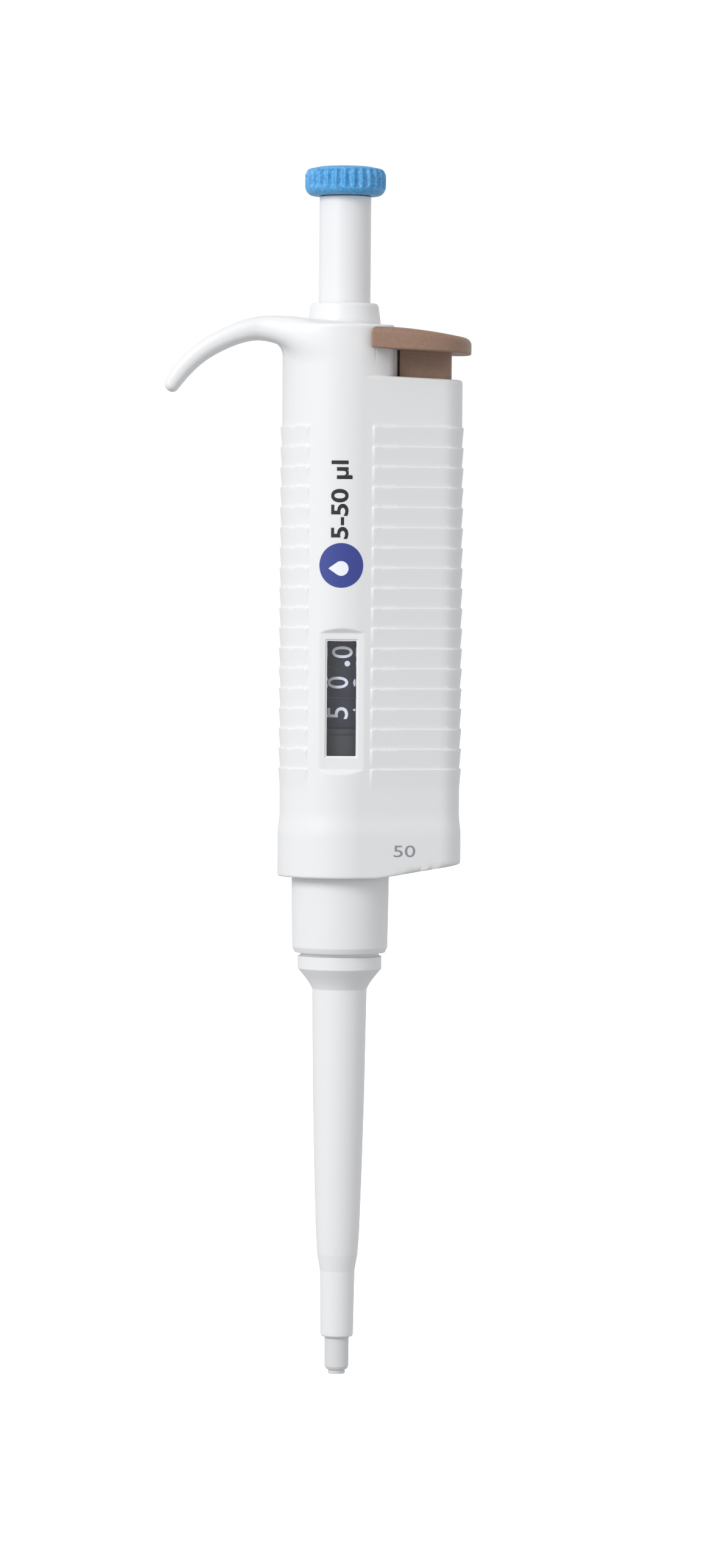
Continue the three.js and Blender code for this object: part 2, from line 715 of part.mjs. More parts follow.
// The thumb pad's side view, with its top sloping down to the right.
function buttonSide() {
  const shape = new THREE.Shape();
  shape.moveTo(BUTTON_LEFT, BUTTON_BOTTOM);
  shape.lineTo(BUTTON_LEFT + 0.3, 208);
  shape.quadraticCurveTo(8.5, 208.9, 13, 208.05);
  shape.lineTo(21, 206.8);
  shape.quadraticCurveTo(BUTTON_RIGHT, 205.8, BUTTON_RIGHT, 204.5);
  shape.lineTo(BUTTON_RIGHT, 203);
  return shape;
}

// The thumb pad from above, before the neck is cut out of it.
function buttonPlan() {
  const shape = new THREE.Shape();
  shape.moveTo(BUTTON_LEFT - 1, -BUTTON_Y);
  shape.lineTo(11, -BUTTON_Y);
  shape.bezierCurveTo(19, -12.4, BUTTON_RIGHT, -8, BUTTON_RIGHT, 0);
  shape.bezierCurveTo(BUTTON_RIGHT, 8, 19, 12.4, 11, BUTTON_Y);
  shape.lineTo(BUTTON_LEFT - 1, BUTTON_Y);
  return shape;
}

function ejectorButton() {
  const [below, above] = [SHOULDER_Z, COLLAR_TOP];
  const pad = acrossY(buttonSide(), FAR, { curveSegments: 4 })
    .intersect(raised(buttonPlan(), below, above, { curveSegments: 6 }));
  const neck = tube(COLUMN_R + GAP, 0, below - OVER, above + OVER, FINE)
    .intersect(block([-FAR, -FAR, below - OVER], [NECK_FLAT_X + RAIL_DEPTH + GAP, FAR, above + OVER]));
  const middle = (STEM_LEFT + STEM_RIGHT) / 2;
  const outline = roundedRectangle(middle, 0, STEM_RIGHT - STEM_LEFT, 2 * STEM_Y, 1.5);
  const stem = raised(outline, STEM_BOTTOM, BUTTON_BOTTOM + 0.6, { curveSegments: 3 });
  const hole = rodAt(EJECTOR_X, 0, EJECTOR_ROD_R + GAP, STEM_BOTTOM - OVER, STEM_BOTTOM + ROD_SOCKET);
  return pad.subtract(neck).add(stem).subtract(hole);
}

function ejectorRod() {
  return rodAt(EJECTOR_X, 0, EJECTOR_ROD_R, ARM_BOTTOM + ARM_FLOOR + GAP, STEM_BOTTOM + ROD_SOCKET - GAP);
}

function ejectorSpring() {
  const [bottom, top] = [EJECTOR_LEDGE + SPRING_SLACK, STEM_BOTTOM - SPRING_SLACK];
  return coil(2.7, 0.35, 7, bottom, top).translate([EJECTOR_X, 0, 0]);
}

function ejectorCollar() {
  const ring = turned([
    [EJECTOR_COLLAR_BORE_R, EJECTOR_COLLAR_BOTTOM],
    [EJECTOR_COLLAR_R - 0.9, EJECTOR_COLLAR_BOTTOM],
    [EJECTOR_COLLAR_R - 0.2, EJECTOR_COLLAR_BOTTOM + 1],
    [EJECTOR_COLLAR_R, HANDLE_BOTTOM],
    [EJECTOR_COLLAR_R, ARM_TOP],
    [EJECTOR_COLLAR_BORE_R, ARM_TOP],
  ], FINE);
  const arm = block([EJECTOR_COLLAR_BORE_R + 0.4, -ARM_Y, ARM_BOTTOM], [ARM_RIGHT, ARM_Y, ARM_TOP]);
  const hole = rodAt(EJECTOR_X, 0, EJECTOR_ROD_R + GAP, ARM_BOTTOM + ARM_FLOOR, ARM_TOP + OVER);
  return ring.add(arm).subtract(hole);
}

function ejectorSleeve() {
  return turned([
    [2.75, 7.5],
    [3.1, 7.5],
    [3.24, 7.8],
    [3.45, 20.9],
    [4.05, 23.7],
    [4.35, 28.8],
    [4.66, 38.5],
    [4.93, 48.1],
    [5.17, 57.8],
    [5.44, 77.1],
    [6.29, 78.4],
    [7.44, 79.8],
    [8.35, 80.8],
    [8.35, 82.8],
    [7.95, 82.9],
    [7.95, 84],
    [8.35, 84.1],
    [8.35, 87.8],
    [7.6, 87.8],
    [7.6, 82],
    [6.5, 79.8],
    [5.4, 78.4],
    [4.64, 77.1],
    [4.37, 57.8],
    [4.13, 48.1],
    [3.86, 38.5],
    [3.55, 28.8],
    [3.25, 24.2],
    [2.75, 20.8],
  ], FINE);
}

// ---------------------------------------------------------------- the assembly

const MATERIALS = {
  body: ['#efefef', 0.45, 0],
  shell: ['#ececee', 0.4, 0],
  clear: ['#3c4050', 0.1, 0],
  blue: ['#4a98d6', 0.6, 0],
  brown: ['#a5826e', 0.55, 0],
  drum: ['#34343f', 0.5, 0],
  inner: ['#d8d4c8', 0.5, 0],
  dark: ['#555a60', 0.5, 0],
  steel: ['#b9bcc0', 0.3, 1],
  spring: ['#9a9da2', 0.35, 1],
  seal: ['#f4f0e4', 0.6, 0],
  rubber: ['#222222', 0.8, 0],
};

const assembly = new THREE.Group();

function add(name, finish, body, position = [0, 0, 0]) {
  const [color, roughness, metalness] = MATERIALS[finish];
  const material = new THREE.MeshStandardMaterial({ color, roughness, metalness });
  const mesh = new THREE.Mesh(geometryOf(body), material);
  mesh.name = name;
  mesh.position.set(...position);
  assembly.add(mesh);
}

const UPPER_SEAM = TENTHS_Z - DIGIT_PITCH / 2;
const LOWER_SEAM = UPPER_SEAM - DIGIT_PITCH;

add('handle_body', 'body', handleBody());
add('counter_window', 'clear', counterWindow());
add('top_collar', 'shell', topCollar());
add('button_cap', 'blue', buttonCap());
add('push_rod', 'shell', pushRod());
add('drive_rod', 'steel', driveRod());
add('volume_screw', 'inner', volumeScrew());
add('volume_stop_nut', 'steel', volumeStopNut());
add('tenths_drum', 'drum', tenthsDrum());
add('units_drum', 'drum', freeDrum(TENTHS_Z - DIGIT_PITCH));
add('tens_drum', 'drum', freeDrum(TENTHS_Z - 2 * DIGIT_PITCH));
add('carrier_plate_upper', 'inner', carrierPlate(UPPER_SEAM));
add('carrier_plate_lower', 'inner', carrierPlate(LOWER_SEAM));
add('transfer_pinion_upper', 'seal', transferPinion(), [PINION_ORBIT, 0, UPPER_SEAM]);
add('transfer_pinion_lower', 'seal', transferPinion(), [PINION_ORBIT, 0, LOWER_SEAM]);
add('counter_frame', 'dark', counterFrame());
add('counter_top_plate', 'dark', counterTopPlate());
add('retaining_ring', 'inner', retainingRing());
add('spring_housing', 'inner', springHousing());
add('piston_head', 'inner', pistonHead());
add('piston', 'steel', piston());
add('main_spring', 'spring', mainSpring());
add('blowout_cup', 'inner', blowoutCup());
add('blowout_spring', 'spring', blowoutSpring());
add('tip_cone_shaft', 'shell', tipConeShaft());
add('piston_seal', 'seal', pistonSeal());
add('seal_o_ring', 'rubber', sealRing());
add('seal_bush', 'inner', sealBush());
add('ejector_button', 'brown', ejectorButton());
add('ejector_rod', 'steel', ejectorRod());
add('ejector_spring', 'spring', ejectorSpring());
add('ejector_collar', 'shell', ejectorCollar());
add('ejector_sleeve', 'shell', ejectorSleeve());

export default assembly;
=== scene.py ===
"""Adjustable micropipette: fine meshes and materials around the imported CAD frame."""

import json
import math

import bmesh
import bpy
import numpy as np
from mathutils import Matrix, Vector


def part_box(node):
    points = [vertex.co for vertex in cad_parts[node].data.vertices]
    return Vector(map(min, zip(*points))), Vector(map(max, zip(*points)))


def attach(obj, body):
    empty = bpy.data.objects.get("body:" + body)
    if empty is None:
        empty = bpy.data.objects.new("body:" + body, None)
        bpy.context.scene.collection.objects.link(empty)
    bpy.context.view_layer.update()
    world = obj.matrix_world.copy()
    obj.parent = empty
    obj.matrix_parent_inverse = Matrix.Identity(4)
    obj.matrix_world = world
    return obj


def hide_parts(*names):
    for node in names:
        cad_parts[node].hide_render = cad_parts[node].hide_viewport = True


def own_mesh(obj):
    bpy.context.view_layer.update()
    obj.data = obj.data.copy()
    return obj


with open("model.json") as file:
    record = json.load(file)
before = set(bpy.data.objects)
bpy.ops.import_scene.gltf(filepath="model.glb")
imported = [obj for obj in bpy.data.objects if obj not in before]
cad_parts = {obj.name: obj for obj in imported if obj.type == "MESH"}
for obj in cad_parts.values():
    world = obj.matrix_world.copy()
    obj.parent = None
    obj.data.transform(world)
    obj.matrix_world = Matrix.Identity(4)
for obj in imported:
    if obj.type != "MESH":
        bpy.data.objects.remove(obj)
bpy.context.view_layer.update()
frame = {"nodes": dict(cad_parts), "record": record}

MM = 0.001  # shapes below are worked out in millimetres


def node_box(node):
    """A CAD node's low and high corners, in millimetres."""
    low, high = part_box(node)
    return np.array(low) / MM, np.array(high) / MM


# ---------------------------------------------------------------- sizes, some taken from the frame

WINDOW_LOW, WINDOW_HIGH = node_box("counter_window")
COLLAR_LOW, COLLAR_HIGH = node_box("top_collar")
ROD_LOW, ROD_HIGH = node_box("push_rod")
CAP_LOW, CAP_HIGH = node_box("button_cap")
BUTTON_HIGH = node_box("ejector_button")[1]
RING_LOW, RING_HIGH = node_box("ejector_collar")
FRAME_LOW, FRAME_HIGH = node_box("counter_frame")

COLUMN_R = 12.2
HOUSING_X = 23.5
CORNER_R = 5.6
CORNER_Y = 1.1
BOTTOM_Z = node_box("handle_body")[0][2] + 0.45
BOTTOM_SLOPE_FROM_X, BOTTOM_SLOPE = 7.3, 0.16
SHOULDER_Z = 198.55
SHOULDER_SLOPE = 0.035
NECK_TOP = 208.6
NECK_FLAT_X = 9.9
BAND_TOP = 108.9
RIB_TOP = 188.6
RIB_PITCH = 3.976
RIB_COUNT = 18
RIB_DEPTH = 0.32
RIB_LEDGE = 0.12
EJECTOR_X = 16.0
STEM_LOW_X, STEM_HIGH_X, STEM_HALF_Y, STEM_CORNER_R = 10.95, 21.3, 4.0, 1.8
BUTTON_BACK_X = 5.4
DRUM_R = 8.2
DIGIT_PITCH = 6.0
DRUM_HALF = DIGIT_PITCH / 2 - 0.15
TENTHS_Z = node_box("tenths_drum")[0][2] + DRUM_HALF
PAD_Y = -11.4
RIB_X = 10.2  # the ejector stem's rib runs in a groove of the guide rail
WINDOW_Z = (WINDOW_LOW[2] + WINDOW_HIGH[2]) / 2
PAD_LOW_Z, PAD_HIGH_Z = WINDOW_Z - 14.0, WINDOW_Z + 12.9

# The handle's hollows on the column's axis: radius, bottom and top.
HANDLE_BORES = (
    (10.3, 90, 112),  # the ejector ring
    (10.0, 111, 151),  # the counter
    (8.3, 150, 205.6),  # the push rod
    (6.3, 204, 214),  # the neck
    (7.5, NECK_TOP + 0.02, 214),  # the top collar's seat
)
EJECTOR_ROD_BORE = (1.9, 159, 167, EJECTOR_X)
# Its slots: low and high corners.
HANDLE_SLOTS = (
    ((0, -3.6, 90), (20.5, 3.6, 112.3)),  # the ejector arm
    ((13, -3.2, 112), (19, 3.2, 160)),  # the ejector rod
    ((10.7, -4.3, 166), (21.6, 4.3, 206)),  # the ejector button's stem
    ((RIB_X - 0.3, -1.3, 187), (10.9, 1.3, 207.3)),  # the stem's rib
)
# The window's rebate and opening: half width, half height and back.
WINDOW_CUTS = ((3.2, 11.65, PAD_Y + 0.22), (2.86, 11.31, -7))


# ---------------------------------------------------------------- mesh helpers

def new_object(name, verts_mm, faces, smooth_angle=38.0):
    """A mesh object from points in millimetres, smooth shaded with sharp edges over the angle."""
    mesh = bpy.data.meshes.new(name)
    mesh.from_pydata((np.asarray(verts_mm, float) * MM).tolist(), [], [list(map(int, f)) for f in faces])
    mesh.validate()
    obj = bpy.data.objects.new(name, mesh)
    bpy.context.scene.collection.objects.link(obj)
    finish_shading(obj, smooth_angle)
    return obj


def finish_shading(obj, smooth_angle=38.0):
    mesh = obj.data
    mesh.polygons.foreach_set("use_smooth", [True] * len(mesh.polygons))
    mesh.set_sharp_from_angle(angle=math.radians(smooth_angle))
    weighted = obj.modifiers.new("weighted_normals", "WEIGHTED_NORMAL")
    weighted.keep_sharp = True
    weighted.weight = 80


def fillet(points, radii, steps=5):
    """The polyline with each inner corner rounded by its radius. points are [r, z] pairs."""
    points = [np.array(p, float) for p in points]
    count = len(points)
    out = []
    for i, point in enumerate(points):
        radius = radii[i]
        if radius <= 0 or i in (0, count - 1):
            out.append(point)
            continue
        before, after = points[i - 1] - point, points[i + 1] - point
        len_before, len_after = np.linalg.norm(before), np.linalg.norm(after)
        before, after = before / len_before, after / len_after
        turn = math.acos(np.clip(before @ after, -1, 1))
        if turn > math.pi - 0.02:
            out.append(point)
            continue
        reach = min(radius / math.tan(turn / 2), 0.49 * len_before, 0.49 * len_after)
        radius = reach * math.tan(turn / 2)
        start, end = point + before * reach, point + after * reach
        middle = before + after
        centre = point + middle / np.linalg.norm(middle) * (radius / math.sin(turn / 2))
        a0, a1 = start - centre, end - centre
        sweep = math.atan2(a0[0] * a1[1] - a0[1] * a1[0], a0 @ a1)
        for k in range(steps + 1):
            angle = sweep * k / steps
            c, s = math.cos(angle), math.sin(angle)
            out.append(centre + np.array([a0[0] * c - a0[1] * s, a0[0] * s + a0[1] * c]))
    return out


def lathe(name, profile, sides=128, centre=(0.0, 0.0), radius_at=None, smooth_angle=38.0):
    """Turns [r, z] points about a vertical axis. A profile that starts and ends off the axis is closed on
    itself. radius_at(r, z, angles) may change the radius round the turn."""
    closed = profile[0][0] > 1e-6
    verts, faces, rows = [], [], []
    angles = np.arange(sides) * 2 * math.pi / sides
    for r, z in profile:
        if r < 1e-6:
            rows.append([len(verts)])
            verts.append((centre[0], centre[1], z))
            continue
        radii = radius_at(r, z, angles) if radius_at else np.full(sides, r)
        rows.append(list(range(len(verts), len(verts) + sides)))
        for radius, angle in zip(radii, angles):
            verts.append((centre[0] + radius * math.cos(angle), centre[1] + radius * math.sin(angle), z))
    pairs = list(zip(rows, rows[1:]))
    if closed:
        pairs.append((rows[-1], rows[0]))
    for low, high in pairs:
        for k in range(sides):
            nxt = (k + 1) % sides
            if len(low) == 1:
                faces.append((low[0], high[nxt], high[k]))
            elif len(high) == 1:
                faces.append((low[k], low[nxt], high[0]))
            else:
                faces.append((low[k], low[nxt], high[nxt], high[k]))
    return new_object(name, verts, faces, smooth_angle)


# ---------------------------------------------------------------- solids from distance functions

def round_max(a, b, radius):
    """Where both distances are inside: the corner is rounded by the radius."""
    inner = np.minimum(-radius, np.maximum(a, b))
    return inner + np.hypot(np.maximum(a + radius, 0), np.maximum(b + radius, 0))


def smooth_min(a, b, width):
    """Joins two solids with a soft fillet."""
    h = np.clip(0.5 + 0.5 * (b - a) / width, 0, 1)
    return b + (a - b) * h - width * h * (1 - h)


def smoothstep(low, high, value):
    t = np.clip((value - low) / (high - low), 0, 1)
    return t * t * (3 - 2 * t)


def box_distance(x, y, z, low, high, radius=0.0):
    """Distance to a box with rounded edges."""
    parts = []
    for value, a, b in zip((x, y, z), low, high):
        parts.append(np.abs(value - (a + b) / 2) - (b - a) / 2 + radius)
    outside = np.sqrt(sum(np.maximum(p, 0) ** 2 for p in parts))
    return outside + np.minimum(np.maximum(np.maximum(parts[0], parts[1]), parts[2]), 0) - radius


def rod_distance(x, y, z, radius, bottom, top, centre_x=0.0):
    radial = np.hypot(x - centre_x, y) - radius
    return np.maximum(radial, np.maximum(bottom - z, z - top))


def graded(low, high, step, fine=()):
    """Grid lines from low to high. fine holds (start, end, step) stretches with a step of their own."""
    lines = [low]
    while lines[-1] < high:
        here = lines[-1]
        size = min([s for a, b, s in fine if a <= here + 1e-6 < b] + [step])
        ahead = [a for a, b, s in fine if here + 1e-6 < a < here + size]
        lines.append(min(ahead) if ahead else here + size)
    return np.array(lines)


def surface_mesh(name, distance, xs, ys, zs, smooth_angle=38.0):
    """The zero surface of a distance function on a grid, one point in each cell that it crosses."""
    grid = distance(xs[:, None, None], ys[None, :, None], zs[None, None, :])
    inside = grid < 0
    corners = np.zeros([n - 1 for n in inside.shape], np.int8)
    for i in (0, 1):
        for j in (0, 1):
            for k in (0, 1):
                corners += inside[i:inside.shape[0] - 1 + i, j:inside.shape[1] - 1 + j,
                                  k:inside.shape[2] - 1 + k]
    ci, cj, ck = np.nonzero((corners > 0) & (corners < 8))
    index = np.full(corners.shape, -1, np.int64)
    index[ci, cj, ck] = np.arange(len(ci))
    total, weight = np.zeros((len(ci), 3)), np.zeros(len(ci))
    lines = (xs, ys, zs)
    for axis in range(3):
        others = [a for a in range(3) if a != axis]
        for u in (0, 1):
            for v in (0, 1):
                start = [ci.copy(), cj.copy(), ck.copy()]
                start[others[0]] = start[others[0]] + u
                start[others[1]] = start[others[1]] + v
                end = [s.copy() for s in start]
                end[axis] = end[axis] + 1
                a, b = grid[tuple(start)], grid[tuple(end)]
                crossed = (a < 0) != (b < 0)
                t = np.where(crossed, a / np.where(crossed, a - b, 1), 0)
                point = np.stack([lines[d][start[d]] for d in range(3)], 1).astype(float)
                point[:, axis] += t * (lines[axis][end[axis]] - lines[axis][start[axis]])
                total += point * crossed[:, None]
                weight += crossed
    verts = total / weight[:, None]
    cell_low = np.stack([xs[ci], ys[cj], zs[ck]], 1)
    cell_high = np.stack([xs[ci + 1], ys[cj + 1], zs[ck + 1]], 1)
    verts = settle(distance, verts, cell_low, cell_high)
    faces = []
    for axis in range(3):
        u, v = [a for a in range(3) if a != axis]
        low = [slice(None)] * 3
        high = [slice(None)] * 3
        low[axis], high[axis] = slice(None, -1), slice(1, None)
        change = inside[tuple(low)] != inside[tuple(high)]
        change[tuple(slice(0, 1) if d == u else slice(None) for d in range(3))] = False
        change[tuple(slice(0, 1) if d == v else slice(None) for d in range(3))] = False
        last_u = tuple(slice(-1, None) if d == u else slice(None) for d in range(3))
        last_v = tuple(slice(-1, None) if d == v else slice(None) for d in range(3))
        change[last_u] = False
        change[last_v] = False
        e = np.nonzero(change)
        goes_in = inside[tuple(low)][e]
        quad = []
        for du, dv in ((1, 1), (0, 1), (0, 0), (1, 0)):
            cell = list(e)
            cell[u] = cell[u] - du
            cell[v] = cell[v] - dv
            quad.append(index[tuple(cell)])
        quad = np.stack(quad, 1)
        flip = goes_in if axis != 1 else ~goes_in
        quad[~flip] = quad[~flip][:, ::-1]
        faces.append(quad)
    faces = np.concatenate(faces)
    return new_object(name, verts, faces, smooth_angle)


def settle(distance, verts, low, high, rounds=4, eps=0.01):
    """Moves each point onto the surface without leaving its own cell."""
    margin = 0.02 * (high - low)
    for _ in range(rounds):
        x, y, z = verts.T
        value = distance(x, y, z)
        slope = np.stack([
            distance(x + eps, y, z) - distance(x - eps, y, z),
            distance(x, y + eps, z) - distance(x, y - eps, z),
            distance(x, y, z + eps) - distance(x, y, z - eps),
        ], 1) / (2 * eps)
        size = np.maximum((slope ** 2).sum(1), 0.05)
        verts = verts - slope * (value / size)[:, None]
        verts = np.clip(verts, low + margin, high - margin)
    return verts


# ---------------------------------------------------------------- handle

CORNER_AT = np.array([HOUSING_X - CORNER_R, CORNER_Y])
SIDE_ANGLE = math.acos((COLUMN_R - CORNER_R) / np.hypot(*CORNER_AT)) + math.atan2(CORNER_AT[1], CORNER_AT[0])


def section_distance(x, y):
    """Distance to the handle's outline: the round column with flat sides to the housing's round end."""
    y = np.abs(y)
    centre = CORNER_AT
    nx, ny = math.cos(SIDE_ANGLE), math.sin(SIDE_ANGLE)
    along = x * ny - y * nx
    length = centre[0] * ny - centre[1] * nx
    column = np.hypot(x, y) - COLUMN_R
    side = x * nx + y * ny - COLUMN_R
    corner = np.where(y > CORNER_Y, np.hypot(x - centre[0], y - CORNER_Y) - CORNER_R, x - HOUSING_X)
    return np.where(along < 0, column, np.where(along < length, side, corner))


def rib_height(x, z):
    """How far the grip ribs stand out: a flat ledge on top, running out to nothing below."""
    down = (RIB_TOP - z) / RIB_PITCH
    part = down - np.floor(down)
    ledge = RIB_LEDGE / RIB_PITCH
    rise = np.where(part < ledge, part / ledge, np.clip((0.95 - part) / (0.95 - ledge), 0, 1))
    on = (down >= 0) & (down < RIB_COUNT)
    side = smoothstep(5.6, 6.2, x) + smoothstep(6.5, 7.1, -x)
    return RIB_DEPTH * rise * on * side


def hook_spine(count=44):
    """Points along the hook's middle from inside the column to its tip, with its half thickness."""
    top = [(2, 208.4), (-5.4, 209.3), (-10, 210.0), (-13.1, 210.3), (-16.2, 210.2), (-19.3, 209.6),
           (-22.5, 208.4), (-25.6, 206.9), (-28.5, 205.1), (-31.2, 202.9), (-33.6, 200.2), (-34.9, 198.1)]
    under = [(2, 199), (-5, 201.5), (-9.5, 203.8), (-13.5, 205.2), (-16.5, 205.75), (-18.7, 205.65),
             (-21, 205.05), (-23.6, 204.0), (-26.5, 202.4), (-28.7, 200.8), (-30.8, 198.8), (-32.3, 197)]
    top, under = np.array(top, float), np.array(under, float)
    middle, half = (top + under) / 2, np.linalg.norm(top - under, axis=1) / 2
    middle, half = np.vstack([middle, [[-34.15, 196.65]]]), np.append(half, 1.27)
    at = np.linspace(0, len(middle) - 1, count)
    knots = np.arange(len(middle))
    from_left = [catmull(knots, values, at) for values in (middle[:, 0], middle[:, 1], half)]
    return np.stack(from_left, 1)


def catmull(knots, values, at):
    """A smooth curve through the values at whole-number knots."""
    padded = np.concatenate([[2 * values[0] - values[1]], values, [2 * values[-1] - values[-2]]])
    i = np.clip(np.floor(at).astype(int), 0, len(knots) - 2)
    t = at - i
    p0, p1, p2, p3 = padded[i], padded[i + 1], padded[i + 2], padded[i + 3]
    return 0.5 * (2 * p1 + (p2 - p0) * t + (2 * p0 - 5 * p1 + 4 * p2 - p3) * t ** 2
                  + (3 * p1 - p0 - 3 * p2 + p3) * t ** 3)


SPINE = hook_spine()
HOOK_ROOT_Y, HOOK_MIDDLE_Y, HOOK_TIP_Y = 10.6, 6.6, 5.2


def hook_distance(x, y, z):
    """Distance to the hook, worked out only near it when the points are a plain list."""
    if np.ndim(z) > 1:
        return hook_bar(x, y, z)
    near = (x < 6) & (z > 190)
    out = np.full(z.shape, 9.0)
    out[near] = hook_bar(x[near], y[near], z[near])
    return out


def hook_bar(x, y, z):
    """Distance to a bar of rounded section, narrower towards its tip, bent along the spine."""
    shape = np.broadcast_shapes(np.shape(x), np.shape(z))
    flat_x, flat_z = np.broadcast_to(x, shape), np.broadcast_to(z, shape)
    best = np.full(shape, 1e9)
    half = np.ones(shape)
    part = np.zeros(shape)
    for k in range(len(SPINE) - 1):
        (ax, az, ah), (bx, bz, bh) = SPINE[k], SPINE[k + 1]
        dx, dz = bx - ax, bz - az
        t = np.clip(((flat_x - ax) * dx + (flat_z - az) * dz) / (dx * dx + dz * dz), 0, 1)
        away = np.hypot(flat_x - ax - t * dx, flat_z - az - t * dz)
        closer = away < best
        best = np.where(closer, away, best)
        half = np.where(closer, ah + (bh - ah) * t, half)
        part = np.where(closer, (k + t) / (len(SPINE) - 1), part)
    width = HOOK_MIDDLE_Y + (HOOK_TIP_Y - HOOK_MIDDLE_Y) * part
    width = width + (HOOK_ROOT_Y - HOOK_MIDDLE_Y) * smoothstep(0.36, 0.05, part)
    edge = 0.9 * half
    a, b = best - half + edge, np.abs(y) - width + edge
    outside = np.hypot(np.maximum(a, 0), np.maximum(b, 0))
    return outside + np.minimum(np.maximum(a, b), 0) - edge


def handle_distance(x, y, z):
    """Distance to the handle: grip, neck, hook and guide rail joined, less the window and the hollows."""
    section = section_distance(x, y) - rib_height(x, z)
    section = section - 0.35 * smoothstep(BAND_TOP + 3.4, BAND_TOP - 1.2, z)
    shoulder = z - (SHOULDER_Z - SHOULDER_SLOPE * (x - BUTTON_BACK_X))
    bottom = BOTTOM_Z + np.maximum(x - BOTTOM_SLOPE_FROM_X, 0) * BOTTOM_SLOPE - z
    grip = round_max(round_max(section, shoulder, 0.55), bottom, 0.45)
    neck = round_max(np.hypot(x, y) - COLUMN_R, x - NECK_FLAT_X, 0.9)
    neck = round_max(neck, z - NECK_TOP, 0.5)
    neck = np.maximum(neck, SHOULDER_Z - 8 - z)
    solid = np.minimum(grip, neck)
    solid = smooth_min(solid, hook_distance(x, y, z), 2.2)
    rail = box_distance(x, y, z, (NECK_FLAT_X - 2, -3.5, 196), (NECK_FLAT_X + 0.7, 3.5, 207), 0.2)
    solid = np.minimum(solid, rail)
    ends = np.maximum(z - PAD_HIGH_Z, PAD_LOW_Z - z) + 1.15 * (y - PAD_Y)
    pad = np.maximum(y - PAD_Y, ends * 0.66)
    solid = np.maximum(solid, -pad)
    for half_w, half_h, back in WINDOW_CUTS:
        low, high = (-half_w, -14, WINDOW_Z - half_h), (half_w, back, WINDOW_Z + half_h)
        solid = np.maximum(solid, -box_distance(x, y, z, low, high, 0.2))
    cuts = [rod_distance(x, y, z, *bore) for bore in (*HANDLE_BORES, EJECTOR_ROD_BORE)]
    cuts += [box_distance(x, y, z, *slot) for slot in HANDLE_SLOTS]
    for cut in cuts:
        solid = np.maximum(solid, -cut)
    return solid


SHELL_X, SHELL_Y, SHELL_Z = (-36.3, 24.8), (-13.0, 13.0), (98.0, 211.3)  # the grid round the handle


def build_handle():
    """The handle's mesh, on a grid that is finest at the rib ledges, the window and the sharp edges."""
    rib_tops = [RIB_TOP - i * RIB_PITCH for i in range(RIB_COUNT)]
    ledges = [(top - 2 * RIB_LEDGE, top + RIB_LEDGE, 0.18) for top in rib_tops]
    fine_z = ledges + [
        (98.4, 100.4, 0.2), (107.6, 112.4, 0.7), (118.6, 121.6, 0.2), (121.6, 124, 0.12),
        (144.8, 147, 0.12), (147, 148.8, 0.2),
        (194.6, 199.2, 0.2), (199.2, 211, 0.42),
    ]
    fine_x = [(-36.3, -26.0, 0.42), (-7.3, -6.2, 0.2), (-4.8, -3.4, 0.25), (-3.4, -2.6, 0.1),
              (-2.6, 2.6, 0.4), (2.6, 3.4, 0.1), (3.4, 4.8, 0.25), (5.3, 6.6, 0.2),
              (8.8, 11.2, 0.2), (20.8, 24.8, 0.4)]
    xs = graded(*SHELL_X, 0.75, fine_x)
    fine_y = [(-13.0, -11.6, 0.2), (-11.6, -11.0, 0.1), (-11.0, -9.6, 0.2),
              (-6.0, -3.6, 0.4), (3.6, 6.0, 0.4), (9.6, 13.0, 0.4)]
    ys = graded(*SHELL_Y, 0.75, fine_y)
    zs = graded(*SHELL_Z, 1.0, fine_z)
    return surface_mesh("handle_shell", handle_distance, xs, ys, zs, 50.0)


# ---------------------------------------------------------------- ejector button

BUTTON_HALF = BUTTON_HIGH[1] - 0.03
BUTTON_UNDER_Z, BUTTON_UNDER_SLOPE = 203.9, 0.045
BUTTON_CROWN = 0.0035  # fall towards the sides, per millimetre squared
BUTTON_ROUND_FROM_X, BUTTON_ROUNDING = 11, 2.7  # the plan's end is a superellipse of this power
BUTTON_CREST_X = 8.5


def button_top(x):
    """Height of the thumb pad's top along its length: nearly level at first, then falling away."""
    part = (x - BUTTON_CREST_X) / (BUTTON_HIGH[0] - BUTTON_CREST_X)
    return BUTTON_HIGH[2] - 0.02 - 0.9 * part - 1.5 * part ** 2


